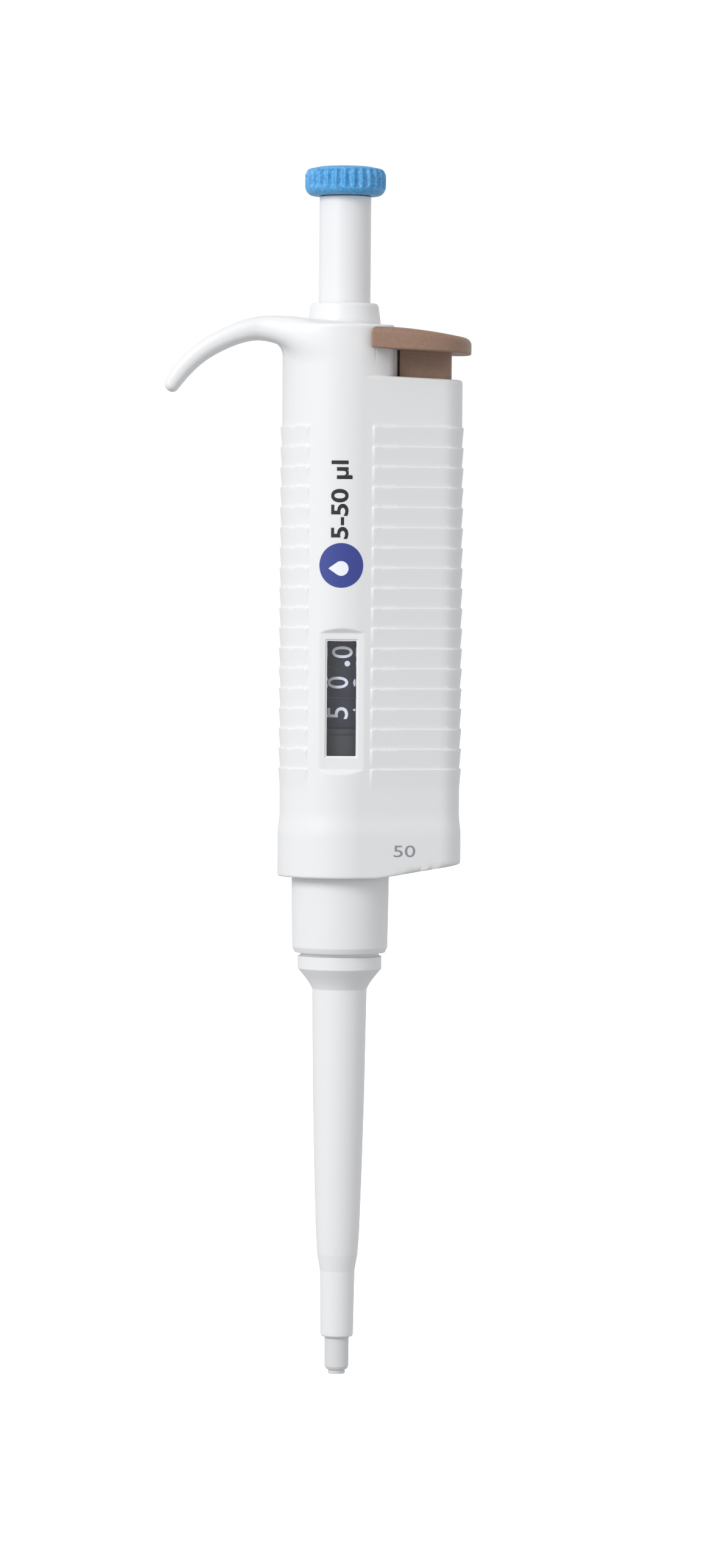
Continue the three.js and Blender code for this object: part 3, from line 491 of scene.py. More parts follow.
def button_distance(x, y, z):
    """Distance to the thumb pad, which wraps round the neck, with the stem and its rib under it."""
    top = z - (button_top(x) - BUTTON_CROWN * y ** 2)
    under = (BUTTON_UNDER_Z - BUTTON_UNDER_SLOPE * (x - BUTTON_BACK_X)) - z
    along = np.maximum(x - BUTTON_ROUND_FROM_X, 0) / (BUTTON_HIGH[0] - BUTTON_ROUND_FROM_X)
    across = np.abs(y) / BUTTON_HALF
    reach = (along ** BUTTON_ROUNDING + across ** BUTTON_ROUNDING) ** (1 / BUTTON_ROUNDING)
    plan = (reach - 1) * BUTTON_HALF
    plan = round_max(plan, BUTTON_BACK_X - x, 0.4)
    pad = round_max(round_max(plan, top, 1.1), under, 0.25)
    neck = np.maximum(np.hypot(x, y) - (COLUMN_R + 0.3), x - (NECK_FLAT_X + 1.0))
    pad = round_max(pad, -neck, 0.3)
    stem = box_distance(x, y, z, (STEM_LOW_X, -STEM_HALF_Y, 187), (STEM_HIGH_X, STEM_HALF_Y, 205.5))
    past_x = np.maximum(x - (STEM_HIGH_X - STEM_CORNER_R), 0)
    past_y = np.maximum(np.abs(y) - (STEM_HALF_Y - STEM_CORNER_R), 0)
    corner = np.hypot(past_x, past_y) - STEM_CORNER_R
    stem = np.maximum(stem, corner)
    solid = smooth_min(pad, stem, 0.3)
    solid = np.minimum(solid, box_distance(x, y, z, (RIB_X, -1.0, 193.5), (11.3, 1.0, 204.6), 0.1))
    return np.maximum(solid, -rod_distance(x, y, z, 1.8, 186, 191, EJECTOR_X))


def build_button():
    xs = graded(4.9, 25.8, 0.3, [(4.9, 6.2, 0.12), (9.5, 11.4, 0.15)])
    ys = graded(-13.4, 13.4, 0.3)
    zs = graded(186.5, 209, 0.6, [(186.5, 188, 0.3), (202.4, 209, 0.18)])
    return surface_mesh("ejector_pad", button_distance, xs, ys, zs, 45.0)


# ---------------------------------------------------------------- turned pieces

def build_cap():
    """The fluted cap: its flutes run from the shoulder down to a plain band."""
    bottom, top, radius = CAP_LOW[2], CAP_HIGH[2], CAP_HIGH[0]
    flutes, flute_depth, flute_share = 28, 0.68, 0.86

    def fluted(r, z, angles):
        from_top = smoothstep(top - 0.35, top - 1.3, z)
        from_band = smoothstep(bottom + 1.15, bottom + 1.75, z)
        outer = smoothstep(radius - 2.2, radius - 0.9, r)
        phase = (angles * flutes / (2 * math.pi)) % 1
        groove = np.sin(math.pi * np.clip(phase / flute_share, 0, 1)) ** 0.75
        return r - flute_depth * groove * from_top * from_band * outer

    roll_r, roll_z = 1.6, 2.0
    roll = [[radius - roll_r + roll_r * math.sin(a), bottom + roll_z - roll_z * math.cos(a)]
            for a in np.linspace(0, math.pi / 2, 9)]
    profile = fillet([
        [0, bottom + 3.2], [4.2, bottom + 3.2], [4.2, bottom], *roll, [radius, top - 1.6],
        [radius - 0.5, top - 0.5], [5.2, top], [0, top],
    ], [0, 0, 0.1] + [0] * 9 + [0.8, 0.9, 1.5, 0], 6)
    dense = [profile[0]]
    for a, b in zip(profile, profile[1:]):
        pieces = max(1, int(np.linalg.norm(np.subtract(b, a)) / 0.22)) if b[1] > bottom + 0.5 else 1
        dense += [np.add(a, np.subtract(b, a) * (k + 1) / pieces) for k in range(pieces)]
    return lathe("cap_shell", dense, flutes * 14, radius_at=fluted, smooth_angle=50)


def build_rod():
    profile = fillet([
        [0, ROD_LOW[2] + 17], [2.3, ROD_LOW[2] + 17], [2.3, ROD_LOW[2]], [7.5, ROD_LOW[2]],
        [7.5, ROD_LOW[2] + 3], [5.1, ROD_LOW[2] + 3], [5.1, CAP_LOW[2] - 0.12], [3.9, CAP_LOW[2] - 0.12],
        [3.9, ROD_HIGH[2]], [0, ROD_HIGH[2]],
    ], [0, 0, 0, 0.3, 0.3, 0.2, 0.25, 0.1, 0.2, 0])
    return lathe("rod_tube", profile)


def build_collar():
    base = NECK_TOP + 0.12
    low, top = COLLAR_LOW[2], COLLAR_HIGH[2]
    profile = fillet([
        [5.4, low], [6.0, low], [6.0, base], [7.2, base], [7.13, base + 0.9], [6.72, top - 0.5],
        [6.4, top], [5.4, top], [5.4, low],
    ], [0, 0, 0.05, 0.15, 0.5, 0.45, 0.35, 0.25, 0])
    return lathe("collar_ring", profile[:-1])


def build_ejector_ring():
    low, top = RING_LOW[2], RING_HIGH[2]
    profile = fillet([
        [8.7, low], [9.0, low], [9.5, low + 1.1], [9.7, BOTTOM_Z], [9.7, top], [8.7, top], [8.7, low],
    ], [0, 0.25, 0.8, 0, 0.2, 0.2, 0])
    return lathe("ejector_ring", profile[:-1])


def build_ejector_arm():
    """The arm that joins the ring to the ejector rod."""

    def distance(x, y, z):
        bar = box_distance(x, y, z, (9.3, -2.9, 108), (RING_HIGH[0], 2.9, RING_HIGH[2] - 0.02), 0.4)
        ring = np.hypot(x, y) - 9.55
        bar = np.maximum(bar, -ring)
        return np.maximum(bar, -rod_distance(x, y, z, 1.8, 108.8, 112, EJECTOR_X))

    return surface_mesh("ejector_arm", distance, graded(8.6, 19.4, 0.3), graded(-3.3, 3.3, 0.3),
                        graded(107.6, 111.4, 0.3))


def build_sleeve():
    """The tapered sleeve: its outer line falls in smoothly to the lower tube."""
    outer = [[3.02, 7.5], [3.24, 7.75], [3.27, 8.4], [3.36, 14.5], [3.46, 20.6], [4.03, 23.9], [4.19, 26.2],
             [4.35, 28.8], [4.5, 33.5], [4.66, 38.5], [4.8, 43.3], [4.92, 48.1], [5.05, 53], [5.15, 57.8],
             [5.25, 65], [5.34, 71], [5.44, 76.9], [6.0, 78.0], [6.83, 79.15], [7.6, 80.1], [8.35, 81.0],
             [8.35, 83.5], [7.8, 83.6], [7.8, 84.1], [8.35, 84.2], [8.35, 87.8]]
    inner = [[7.6, 87.8], [7.6, 82], [6.5, 79.8], [5.4, 78.4], [4.64, 77.1], [4.37, 57.8], [4.13, 48.1],
             [3.86, 38.5], [3.55, 28.8], [3.25, 24.2], [2.75, 20.8], [2.75, 7.5]]
    radii = [0.15, 0.2, 0, 0, 0.5, 0.6, 0, 0, 0, 0, 0, 0, 0, 0, 0, 0, 0.5, 0, 0, 0.3, 0.3, 0.2,
             0.05, 0.05, 0.05, 0.2]
    profile = fillet(outer + inner, radii + [0.2] + [0] * 11)
    return lathe("sleeve_tube", profile, 144, smooth_angle=30)


def build_shaft():
    profile = fillet([
        [0.5, 0], [1.7, 0], [1.7, 0.8], [2.1, 0.95], [2.38, 1.5], [2.42, 7.5], [2.45, 21], [2.85, 26],
        [3.45, 38.5], [3.95, 57.8], [4.2, 77], [4.3, 80.5], [6.9, 84], [6.9, 88], [4.7, 88], [4.7, 85.2],
        [3, 85.2], [3, 43], [2.8, 38], [1.15, 38], [1.15, 3], [0.5, 2.4],
    ], [0, 0.15, 0.05, 0.15, 0.4] + [0] * 17)
    return lathe("tip_shaft", profile, 96)


def build_spring(name, node, turns, wire):
    """A coil spring in the CAD spring's box, with a closed turn at each end."""
    low, high = node_box(node)
    centre_x = (low[0] + high[0]) / 2
    mean_radius = (high[1] - low[1]) / 2 - wire
    height = high[2] - low[2] - 2 * wire
    closed, close_pitch = 0.75, 2.1 * wire
    open_pitch = (height - 2 * closed * close_pitch) / (turns - 2 * closed)
    verts, faces = [], []
    round_steps, ring = 40, 12
    rows = int(turns * round_steps) + 1
    for k in range(rows):
        turn = k / round_steps
        rise = min(turn, closed) * close_pitch + max(turn - turns + closed, 0) * close_pitch
        rise += (min(turn, turns - closed) - min(turn, closed)) * open_pitch
        angle = 2 * math.pi * turn
        for m in range(ring):
            around = 2 * math.pi * m / ring
            r = mean_radius + wire * math.cos(around)
            verts.append((centre_x + r * math.cos(angle), r * math.sin(angle),
                          low[2] + wire + rise + wire * math.sin(around)))
    for k in range(rows - 1):
        for m in range(ring):
            n = (m + 1) % ring
            faces.append((k * ring + m, (k + 1) * ring + m, (k + 1) * ring + n, k * ring + n))
    faces.append(tuple(range(ring)))
    faces.append(tuple((rows - 1) * ring + m for m in reversed(range(ring))))
    return new_object(name, verts, faces, 50)


# Each spring's piece, CAD node, turns, wire radius, the body it stands on and the joint that presses it.
SPRINGS = (
    ("main_coil", "main_spring", 7, 0.28, "blowout", "plunger_press"),
    ("blowout_coil", "blowout_spring", 3.5, 0.42, "handle", "blowout_press"),
    ("ejector_coil", "ejector_spring", 7, 0.35, "handle", "ejector_press"),
)


def place_springs():
    """Each spring stands on its lower end, attached to its body with a mesh of its own."""
    for name, node, turns, wire, body, joint in SPRINGS:
        spring = place(build_spring(name, node, turns, wire), body, "spring", "spring", node)
        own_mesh(spring)


def build_drum(name, middle):
    half = DRUM_HALF
    rim = DRUM_R - 0.05
    return lathe(name, fillet([
        [3.9, middle - 0.3], [7.2, middle - 0.3], [7.2, middle - half], [rim, middle - half],
        [rim, middle + half], [7.2, middle + half], [7.2, middle + 0.9], [3.9, middle + 0.9],
    ], [0, 0, 0.05, 0.12, 0.12, 0.05, 0, 0], 4), 144)


def build_counter_chassis():
    """The counter's base with the plain sleeve that shows under the tens drum."""
    low = FRAME_LOW[2]
    top = TENTHS_Z - 2.5 * DIGIT_PITCH - 0.15
    return lathe("counter_chassis", fillet([
        [2.6, low], [9.6, low], [9.6, low + 2], [8.15, low + 2], [8.15, top - 1.35], [7.95, top - 1.2],
        [8.15, top - 1.05], [8.15, top], [7.2, top], [7.2, low + 2.2], [3.6, low + 2.2],
        [3.6, FRAME_HIGH[2] - 6], [2.6, FRAME_HIGH[2] - 6],
    ], [0, 0.2, 0.2, 0.1, 0.03, 0.03, 0.03, 0.12, 0.1, 0, 0, 0.1, 0], 3), 128)


def build_window():
    """The lens, a thin plate with soft edges."""
    low, high = WINDOW_LOW, WINDOW_HIGH

    def distance(x, y, z):
        return box_distance(x, y, z, low, high, 0.22)

    def edge_lines(axis, step, edge_step):
        """Grid lines across the lens, finer within half a millimetre of its two edges."""
        edges = [(low[axis] - 0.3, low[axis] + 0.5, edge_step), (high[axis] - 0.5, high[axis] + 1, edge_step)]
        return graded(low[axis] - 0.3, high[axis] + 0.3, step, edges)

    ys = graded(low[1] - 0.3, high[1] + 0.3, 0.08)
    return surface_mesh("window_lens", distance, edge_lines(0, 0.25, 0.08), ys, edge_lines(2, 0.5, 0.1), 60)


# ---------------------------------------------------------------- printed marks

DIGIT_HEIGHT, DIGIT_WIDTH, ONE_WIDTH = 4.15, 2.35, 1.25
INK, DRUM_INK = 0.05, 0.04
LABEL_Z, DISC_Z, DROP_Z = 174.0, 161.1, 160.5
LABEL_TURN = -1.2  # degrees round the column
DISC_R, DROP_R, POINT_R = 4.4, 1.45, 0.56
CAPACITY_Z, CAPACITY_ALONG, CAPACITY_LIFT = 104.8, 9.2, 0.36

def flat_text(text, height, width=None, bold=0.0):
    """A mesh of the text in its own plane, centred, scaled to the height and width in millimetres."""
    curve = bpy.data.curves.new("text", "FONT")
    curve.body = text
    curve.offset = bold
    curve.resolution_u = 6
    obj = bpy.data.objects.new("text", curve)
    bpy.context.scene.collection.objects.link(obj)
    bpy.context.view_layer.update()
    source = bpy.data.meshes.new_from_object(obj)
    bpy.data.objects.remove(obj)
    mesh = bmesh.new()
    mesh.from_mesh(source)
    bmesh.ops.remove_doubles(mesh, verts=mesh.verts, dist=1e-5)
    co = np.array([v.co[:2] for v in mesh.verts])
    low, high = co.min(0), co.max(0)
    scale_y = height / (high[1] - low[1])
    scale_x = width / (high[0] - low[0]) if width else scale_y
    for v in mesh.verts:
        v.co.x = (v.co.x - (low[0] + high[0]) / 2) * scale_x
        v.co.y = (v.co.y - (low[1] + high[1]) / 2) * scale_y
        v.co.z = 0
    return mesh


def flat_shape(points):
    mesh = bmesh.new()
    mesh.faces.new([mesh.verts.new((x, y, 0)) for x, y in points])
    return mesh


def slice_rows(mesh, step=0.35):
    """Cuts the flat mesh in rows so that it can bend along its height."""
    ys = [v.co.y for v in mesh.verts]
    y = min(ys) + step
    while y < max(ys):
        geometry = mesh.verts[:] + mesh.edges[:] + mesh.faces[:]
        bmesh.ops.bisect_plane(mesh, geom=geometry, plane_co=(0, y, 0), plane_no=(0, 1, 0), dist=1e-5)
        y += step
    bmesh.ops.triangulate(mesh, faces=mesh.faces[:])
    return mesh


def wrap(mesh, radius, middle, turn=0.0):
    """Points and faces of a flat mesh laid round the column: its up points to -X, and it reads upwards."""
    verts = []
    for v in mesh.verts:
        angle = -math.pi / 2 + math.radians(turn) - v.co.y / radius
        verts.append((radius * math.cos(angle), radius * math.sin(angle), middle + v.co.x))
    mesh.verts.index_update()
    faces = [[v.index for v in f.verts] for f in mesh.faces]
    mesh.free()
    return verts, faces


def print_layer(name, parts, thickness=INK):
    """Thin printed ink: the parts' faces given a little thickness."""
    verts, faces = [], []
    for more_verts, more_faces in parts:
        start = len(verts)
        verts += more_verts
        faces += [[start + i for i in f] for f in more_faces]
    mesh = bpy.data.meshes.new(name)
    mesh.from_pydata((np.array(verts) * MM).tolist(), [], faces)
    mesh.validate()
    obj = bpy.data.objects.new(name, mesh)
    bpy.context.scene.collection.objects.link(obj)
    solid = obj.modifiers.new("ink", "SOLIDIFY")
    solid.thickness = thickness * MM
    solid.offset = 0
    return obj


def drum_digits(name, middle, shown, play):
    """Ten digits round a drum. shown faces the window, and play turns the drum a few degrees from true."""
    parts = []
    for k in range(10):
        digit = str((shown + k) % 10)
        mesh = slice_rows(flat_text(digit, DIGIT_HEIGHT, ONE_WIDTH if digit == "1" else DIGIT_WIDTH, 0.004))
        parts.append(wrap(mesh, DRUM_R - 0.02, middle, play - 36 * k))
    return print_layer(name, parts, DRUM_INK)


def decimal_point(middle):
    """The decimal point, printed on the lower edge of the tenths drum beside each digit."""
    parts = []
    for k in range(10):
        points = [(x, y - 1.1) for x, y in disc_points(POINT_R, 20)]
        parts.append(wrap(slice_rows(flat_shape(points)), DRUM_R - 0.02, middle, -36 * k))
    return print_layer("decimal_points", parts, DRUM_INK)


def disc_points(radius, steps=48):
    return [(radius * math.cos(a), radius * math.sin(a)) for a in np.linspace(0, 2 * math.pi, steps + 1)[:-1]]


def drop_points(size, steps=28):
    """A liquid drop: a round belly drawn up to a point."""
    points = [(0, 1.75 * size)]
    for k in range(steps + 1):
        angle = math.radians(35 - 250 * k / steps)
        points.append((size * math.cos(angle), size * math.sin(angle)))
    return points


def body_marks():
    """The volume range as a printed label, and a plain disc with a drop on it."""
    radius = COLUMN_R + 0.01
    text = slice_rows(flat_text("5-50 µl", 4.2, 15.4, 0.022))
    round_mark = slice_rows(flat_shape(disc_points(DISC_R)))
    drop_mark = slice_rows(flat_shape(drop_points(DROP_R)))
    label = print_layer("range_label", [wrap(text, radius, LABEL_Z, LABEL_TURN)])
    disc = print_layer("colour_disc", [wrap(round_mark, radius, DISC_Z, LABEL_TURN)])
    drop = print_layer("drop_mark", [wrap(drop_mark, radius + 0.02, DROP_Z, LABEL_TURN)])
    return label, disc, drop


def capacity_mark():
    """The grey 50 on the flat side of the lower band."""
    normal = np.array([math.cos(SIDE_ANGLE), -math.sin(SIDE_ANGLE), 0])
    right = np.array([math.sin(SIDE_ANGLE), math.cos(SIDE_ANGLE), 0])
    start = normal * (COLUMN_R + CAPACITY_LIFT) + right * CAPACITY_ALONG
    mesh = flat_text("50", 2.3, 4.5, 0.0)
    bmesh.ops.triangulate(mesh, faces=mesh.faces[:])
    verts = [tuple(start + right * v.co.x + np.array([0, 0, CAPACITY_Z + v.co.y])) for v in mesh.verts]
    mesh.verts.index_update()
    faces = [[v.index for v in f.verts] for f in mesh.faces]
    mesh.free()
    return print_layer("capacity_mark", [(verts, faces)])


# ---------------------------------------------------------------- materials

def nodes_of(name):
    material = bpy.data.materials.new(name)
    material.use_nodes = True
    tree = material.node_tree
    shader = tree.nodes["Principled BSDF"]
    return material, tree, shader


def add(tree, kind, **values):
    node = tree.nodes.new(kind)
    for key, value in values.items():
        if key in node.inputs:
            node.inputs[key].default_value = value
        else:
            setattr(node, key, value)
    return node


def plastic(name, color, roughness, tint=0.03, grain=0.25, grain_scale=2600.0, bump=0.06, subsurface=0.0,
            specular=0.5, painted_sparkle=0.0):
    """Moulded plastic: slow colour drift, fine spark-eroded grain, roughness that wanders a little, and
    lighter specks that are painted sparkle highlights.
    """
    material, tree, shader = nodes_of(name)
    link = tree.links.new
    coords = add(tree, "ShaderNodeTexCoord")
    drift = add(tree, "ShaderNodeTexNoise", Scale=35.0, Detail=3.0, Roughness=0.55)
    link(coords.outputs["Object"], drift.inputs["Vector"])
    fine = add(tree, "ShaderNodeTexNoise", Scale=grain_scale, Detail=2.0, Roughness=0.6)
    link(coords.outputs["Object"], fine.inputs["Vector"])
    mixed = add(tree, "ShaderNodeMix", data_type="RGBA")
    mixed.inputs["A"].default_value = (*[c * (1 - tint) for c in color], 1)
    mixed.inputs["B"].default_value = (*[min(1, c * (1 + tint)) for c in color], 1)
    link(drift.outputs["Fac"], mixed.inputs["Factor"])
    out = mixed.outputs["Result"]
    # Lighter specks scattered at random through the colour: painted sparkle highlights.
    if painted_sparkle:
        speck = add(tree, "ShaderNodeTexVoronoi", Scale=grain_scale * 0.6, feature="F1")
        link(coords.outputs["Object"], speck.inputs["Vector"])
        ramp = add(tree, "ShaderNodeMapRange")
        ramp.inputs["From Min"].default_value = 0.15
        ramp.inputs["From Max"].default_value = 0.75
        ramp.inputs["To Min"].default_value = painted_sparkle
        ramp.inputs["To Max"].default_value = 0.0
        link(speck.outputs["Distance"], ramp.inputs["Value"])
        light = add(tree, "ShaderNodeMix", data_type="RGBA")
        light.inputs["B"].default_value = (*[min(1, c * 1.6 + 0.08) for c in color], 1)
        link(ramp.outputs["Result"], light.inputs["Factor"])
        link(out, light.inputs["A"])
        out = light.outputs["Result"]
    link(out, shader.inputs["Base Color"])
    rough = add(tree, "ShaderNodeMapRange")
    rough.inputs["To Min"].default_value = max(0.02, roughness - 0.06)
    rough.inputs["To Max"].default_value = roughness + 0.06
    link(fine.outputs["Fac"], rough.inputs["Value"])
    link(rough.outputs["Result"], shader.inputs["Roughness"])
    bumped = add(tree, "ShaderNodeBump", Strength=grain, Distance=bump * MM)
    link(fine.outputs["Fac"], bumped.inputs["Height"])
    link(bumped.outputs["Normal"], shader.inputs["Normal"])
    shader.inputs["Specular IOR Level"].default_value = specular
    if subsurface:
        shader.inputs["Subsurface Weight"].default_value = subsurface
        shader.inputs["Subsurface Radius"].default_value = (1.0, 0.9, 0.8)
        shader.inputs["Subsurface Scale"].default_value = 0.0006
    return material


def metal(name, color, roughness, stretch=(900.0, 900.0, 60.0)):
    """Ground or drawn steel: fine lines along the piece."""
    material, tree, shader = nodes_of(name)
    link = tree.links.new
    coords = add(tree, "ShaderNodeTexCoord")
    mapping = add(tree, "ShaderNodeMapping", Scale=stretch)
    link(coords.outputs["Object"], mapping.inputs["Vector"])
    lines = add(tree, "ShaderNodeTexNoise", Scale=6.0, Detail=4.0)
    link(mapping.outputs["Vector"], lines.inputs["Vector"])
    mixed = add(tree, "ShaderNodeMix", data_type="RGBA")
    mixed.inputs["A"].default_value = (*[c * 0.85 for c in color], 1)
    mixed.inputs["B"].default_value = (*color, 1)
    link(lines.outputs["Fac"], mixed.inputs["Factor"])
    link(mixed.outputs["Result"], shader.inputs["Base Color"])
    rough = add(tree, "ShaderNodeMapRange")
    rough.inputs["To Min"].default_value = roughness - 0.08
    rough.inputs["To Max"].default_value = roughness + 0.12
    link(lines.outputs["Fac"], rough.inputs["Value"])
    link(rough.outputs["Result"], shader.inputs["Roughness"])
    shader.inputs["Metallic"].default_value = 1.0
    return material


def clear_lens():
    """The counter window's clear plastic, with a faint smoky tint and a little haze."""
    material, tree, shader = nodes_of("clear_lens")
    link = tree.links.new
    coords = add(tree, "ShaderNodeTexCoord")
    haze = add(tree, "ShaderNodeTexNoise", Scale=180.0, Detail=3.0)
    link(coords.outputs["Object"], haze.inputs["Vector"])
    rough = add(tree, "ShaderNodeMapRange")
    rough.inputs["To Min"].default_value = 0.0
    rough.inputs["To Max"].default_value = 0.02
    link(haze.outputs["Fac"], rough.inputs["Value"])
    link(rough.outputs["Result"], shader.inputs["Roughness"])
    shader.inputs["Base Color"].default_value = (0.93, 0.94, 0.97, 1)
    shader.inputs["Transmission Weight"].default_value = 1.0
    shader.inputs["IOR"].default_value = 1.49
    path = add(tree, "ShaderNodeLightPath")
    through = add(tree, "ShaderNodeBsdfTransparent", Color=(0.9, 0.91, 0.95, 1))
    mix = add(tree, "ShaderNodeMixShader")
    link(path.outputs["Is Shadow Ray"], mix.inputs["Fac"])
    link(shader.outputs["BSDF"], mix.inputs[1])
    link(through.outputs["BSDF"], mix.inputs[2])
    link(mix.outputs["Shader"], tree.nodes["Material Output"].inputs["Surface"])
    return material


MATERIALS = {
    "body": plastic("body_plastic", (0.80, 0.80, 0.805), 0.46, tint=0.012, subsurface=0.08),
    "shell": plastic("shell_plastic", (0.80, 0.80, 0.81), 0.40, tint=0.012, subsurface=0.08, grain=0.15),
    "shaft": plastic("shaft_plastic", (0.68, 0.68, 0.69), 0.42, tint=0.012, subsurface=0.1, grain=0.15),
    # The lighter specks on the blue and brown plastics are painted sparkle highlights.
    "blue": plastic("blue_plastic", (0.065, 0.31, 0.62), 0.42, tint=0.05, grain=0.5, bump=0.12,
                    grain_scale=3200.0, painted_sparkle=0.5),
    "brown": plastic("brown_plastic", (0.285, 0.172, 0.12), 0.46, tint=0.06, grain=0.35, grain_scale=3000.0,
                     painted_sparkle=0.12),
    "drum": plastic("drum_plastic", (0.015, 0.015, 0.032), 0.5, tint=0.25, grain=0.1,
                    specular=0.3),
    "ink_white": plastic("white_ink", (0.86, 0.88, 0.95), 0.6, tint=0.02, grain=0.1),
    "ink_dark": plastic("dark_ink", (0.012, 0.012, 0.014), 0.55, tint=0.05, grain=0.1),
    "ink_blue": plastic("blue_ink", (0.033, 0.052, 0.28), 0.5, tint=0.04, grain=0.1),
    "ink_grey": plastic("grey_ink", (0.28, 0.29, 0.32), 0.55, tint=0.03, grain=0.1),
    "inner": plastic("natural_plastic", (0.66, 0.64, 0.56), 0.5),
    "dark": plastic("dark_plastic", (0.03, 0.03, 0.036), 0.45, tint=0.08, grain=0.2),
    "seal": plastic("fluoropolymer", (0.82, 0.80, 0.74), 0.42, subsurface=0.15),
    "rubber": plastic("black_rubber", (0.015, 0.015, 0.016), 0.7, grain=0.4, bump=0.1),
    "steel": metal("ground_steel", (0.60, 0.61, 0.63), 0.28),
    "spring": metal("spring_wire", (0.48, 0.49, 0.51), 0.34),
    "clear": clear_lens(),
}


def place(obj, body, material, slot, *replaced):
    obj.data.materials.clear()
    obj.data.materials.append(MATERIALS[material])
    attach(obj, body)
    if replaced:
        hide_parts(*replaced)
    return obj


# ---------------------------------------------------------------- camera, light and floor

CAMERA_AT, CAMERA_AIM = (0.0025, -1.143, 0.158), (0.0025, 0.0, 0.1177)
CAMERA_LENS, CAMERA_ROLL = 132.0, 0.45  # millimetres on a 36 mm sensor, and degrees
KEY_AT, KEY_AIM, KEY_SIZE, KEY_WATTS = (-0.8, -0.95, 0.8), (0, 0, 0.12), 0.55, 11.2
SKY_BELOW, SKY_LEVEL, SKY_ABOVE = 0.32, 0.80, 0.56  # the surround's strength
FLOOR_Z = -60  # millimetres

def build_camera():
    """The photograph's view: level with the handle, long lens, straight on to the window."""
    data = bpy.data.cameras.new("camera")
    data.sensor_width = 36
    data.lens = CAMERA_LENS
    camera = bpy.data.objects.new("camera", data)
    bpy.context.scene.collection.objects.link(camera)
    position = Vector(CAMERA_AT)
    look = (Vector(CAMERA_AIM) - position).to_track_quat("-Z", "Y").to_matrix().to_4x4()
    roll = Matrix.Rotation(math.radians(CAMERA_ROLL), 4, "Z")
    camera.matrix_world = Matrix.Translation(position) @ look @ roll
    bpy.context.scene.camera = camera


def area_light(name, position, target, size, power):
    data = bpy.data.lights.new(name, "AREA")
    data.shape = "SQUARE"
    data.size = size
    data.energy = power
    light = bpy.data.objects.new(name, data)
    bpy.context.scene.collection.objects.link(light)
    aim = Vector(target) - Vector(position)
    light.matrix_world = Matrix.Translation(position) @ aim.to_track_quat("-Z", "Y").to_matrix().to_4x4()


def build_studio():
    """A white surround, brightest round the horizon, with a broad soft key from the upper left."""
    area_light("key", KEY_AT, KEY_AIM, KEY_SIZE, KEY_WATTS)
    world = bpy.data.worlds.new("studio")
    bpy.context.scene.world = world
    world.use_nodes = True
    tree = world.node_tree
    tree.nodes.clear()
    link = tree.links.new
    coords = add(tree, "ShaderNodeTexCoord")
    split = add(tree, "ShaderNodeSeparateXYZ")
    up = add(tree, "ShaderNodeMapRange")
    up.inputs["From Min"].default_value = -1.0
    up.inputs["From Max"].default_value = 1.0
    level = add(tree, "ShaderNodeValToRGB")
    level.color_ramp.elements[0].color = (SKY_BELOW, SKY_BELOW, SKY_BELOW, 1)
    level.color_ramp.elements[1].color = (SKY_ABOVE, SKY_ABOVE, SKY_ABOVE, 1)
    level.color_ramp.elements.new(0.55).color = (SKY_LEVEL, SKY_LEVEL, SKY_LEVEL, 1)
    seen = add(tree, "ShaderNodeBackground", Color=(1, 1, 1, 1), Strength=1.0)
    lit = add(tree, "ShaderNodeBackground", Color=(0.98, 0.99, 1, 1))
    path = add(tree, "ShaderNodeLightPath")
    mix = add(tree, "ShaderNodeMixShader")
    output = add(tree, "ShaderNodeOutputWorld")
    link(coords.outputs["Generated"], split.inputs["Vector"])
    link(split.outputs["Z"], up.inputs["Value"])
    link(up.outputs["Result"], level.inputs["Fac"])
    link(level.outputs["Color"], lit.inputs["Strength"])
    link(path.outputs["Is Camera Ray"], mix.inputs["Fac"])
    link(lit.outputs["Background"], mix.inputs[1])
    link(seen.outputs["Background"], mix.inputs[2])
    link(mix.outputs["Shader"], output.inputs["Surface"])
    build_floor()
    bpy.context.scene.view_settings.view_transform = "Standard"


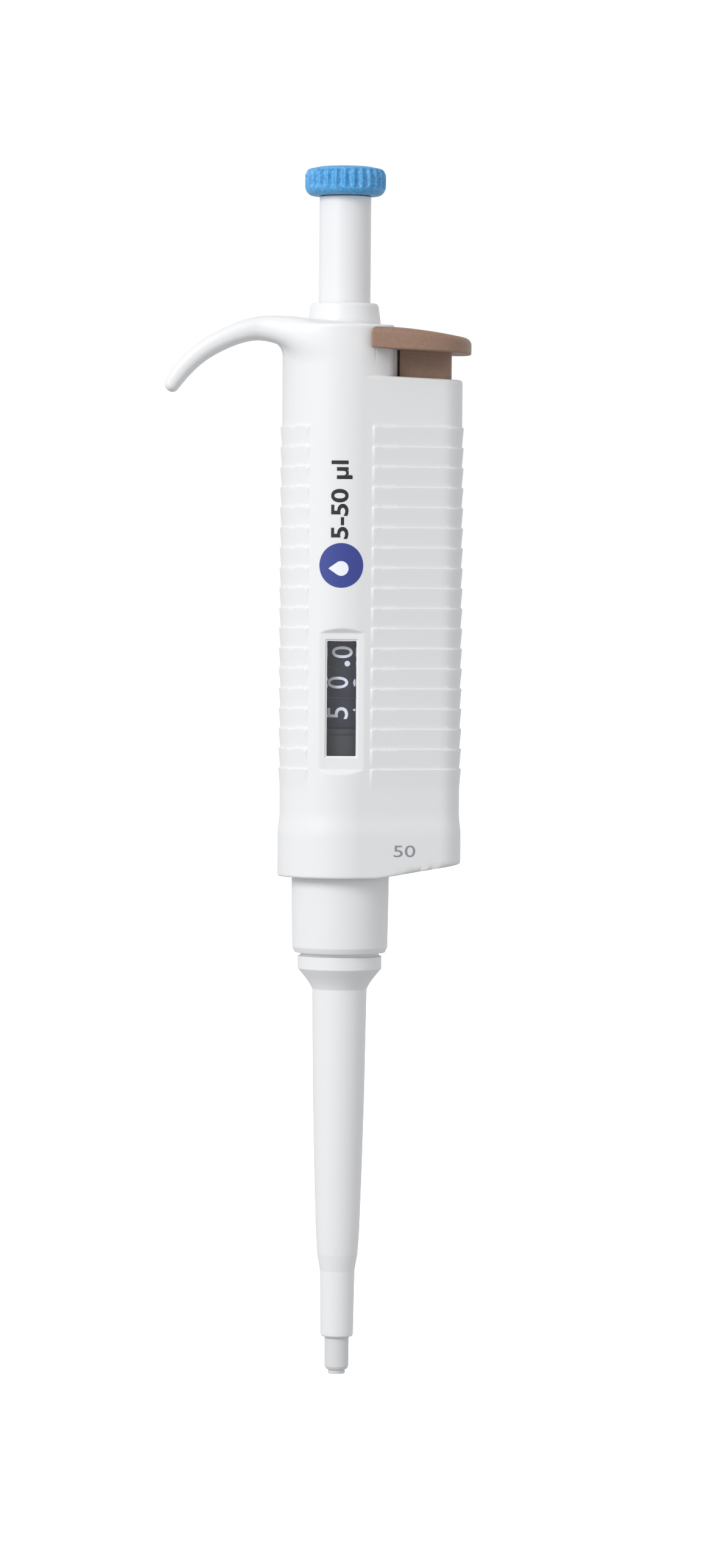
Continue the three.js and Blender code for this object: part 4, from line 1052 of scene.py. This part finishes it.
def build_floor():
    """A plain white floor that only the camera sees, so that it neither lights nor shades the object."""
    half_width, near, far = 9000, -3000, 12000
    outline = [(-half_width, near), (half_width, near), (half_width, far), (-half_width, far)]
    floor = new_object("floor", [(x, y, FLOOR_Z) for x, y in outline], [(0, 1, 2, 3)])
    material, tree, shader = nodes_of("pale_floor")
    coords = add(tree, "ShaderNodeTexCoord")
    noise = add(tree, "ShaderNodeTexNoise", Scale=3.0, Detail=2.0)
    ramp = add(tree, "ShaderNodeMapRange")
    ramp.inputs["To Min"].default_value = 0.62
    ramp.inputs["To Max"].default_value = 0.7
    tree.links.new(coords.outputs["Object"], noise.inputs["Vector"])
    tree.links.new(noise.outputs["Fac"], ramp.inputs["Value"])
    tree.links.new(ramp.outputs["Result"], shader.inputs["Roughness"])
    shader.inputs["Base Color"].default_value = (0.92, 0.92, 0.92, 1)
    shader.inputs["Emission Color"].default_value = (1, 1, 1, 1)
    shader.inputs["Emission Strength"].default_value = 0.8
    floor.data.materials.append(material)
    floor.visible_diffuse = False
    floor.visible_glossy = False
    floor.visible_transmission = False
    floor.visible_shadow = False


# ---------------------------------------------------------------- the object

def build_object():
    place(build_handle(), "handle", "body", "body", "handle_body")
    place(build_collar(), "handle", "shell", "shell", "top_collar")
    place(build_window(), "handle", "clear", "clear", "counter_window")
    place(build_shaft(), "handle", "shaft", "shell", "tip_cone_shaft")
    place(build_counter_chassis(), "handle", "dark", "dark", "counter_frame")
    place(build_cap(), "knob", "blue", "blue", "button_cap")
    place(build_rod(), "knob", "shell", "shell", "push_rod")
    place(build_button(), "ejector", "brown", "brown", "ejector_button")
    place(build_ejector_ring(), "ejector", "shell", "shell", "ejector_collar")
    place(build_ejector_arm(), "ejector", "shell", "shell")
    place(build_sleeve(), "ejector", "shell", "shell", "ejector_sleeve")
    for k, (name, shown, play) in enumerate((("tenths", 0, 0.7), ("units", 0, -5.4), ("tens", 5, -5.3))):
        middle = TENTHS_Z - k * DIGIT_PITCH
        place(build_drum(name + "_wheel", middle), name, "drum", "drum", name + "_drum")
        place(drum_digits(name + "_digits", middle, shown, play), name, "ink_white", "seal")
    place(decimal_point(TENTHS_Z - DIGIT_PITCH / 2 + 0.75), "tenths", "ink_white", "seal")
    place_springs()
    label, disc, drop = body_marks()
    place(label, "handle", "ink_dark", "dark")
    place(disc, "handle", "ink_blue", "blue")
    place(drop, "handle", "ink_white", "seal")
    place(capacity_mark(), "handle", "ink_grey", "dark")


def finish_cad_nodes():
    """The inner pieces keep their CAD shape and get a full material."""
    slots = {s["node"]: s["material_slot"] for s in frame["record"]["subparts"]}
    for name, obj in frame["nodes"].items():
        obj.data.materials.clear()
        obj.data.materials.append(MATERIALS[slots[name]])


build_camera()
build_studio()
finish_cad_nodes()
build_object()


def corners(box):
    return [[float(value) for value in corner] for corner in box]
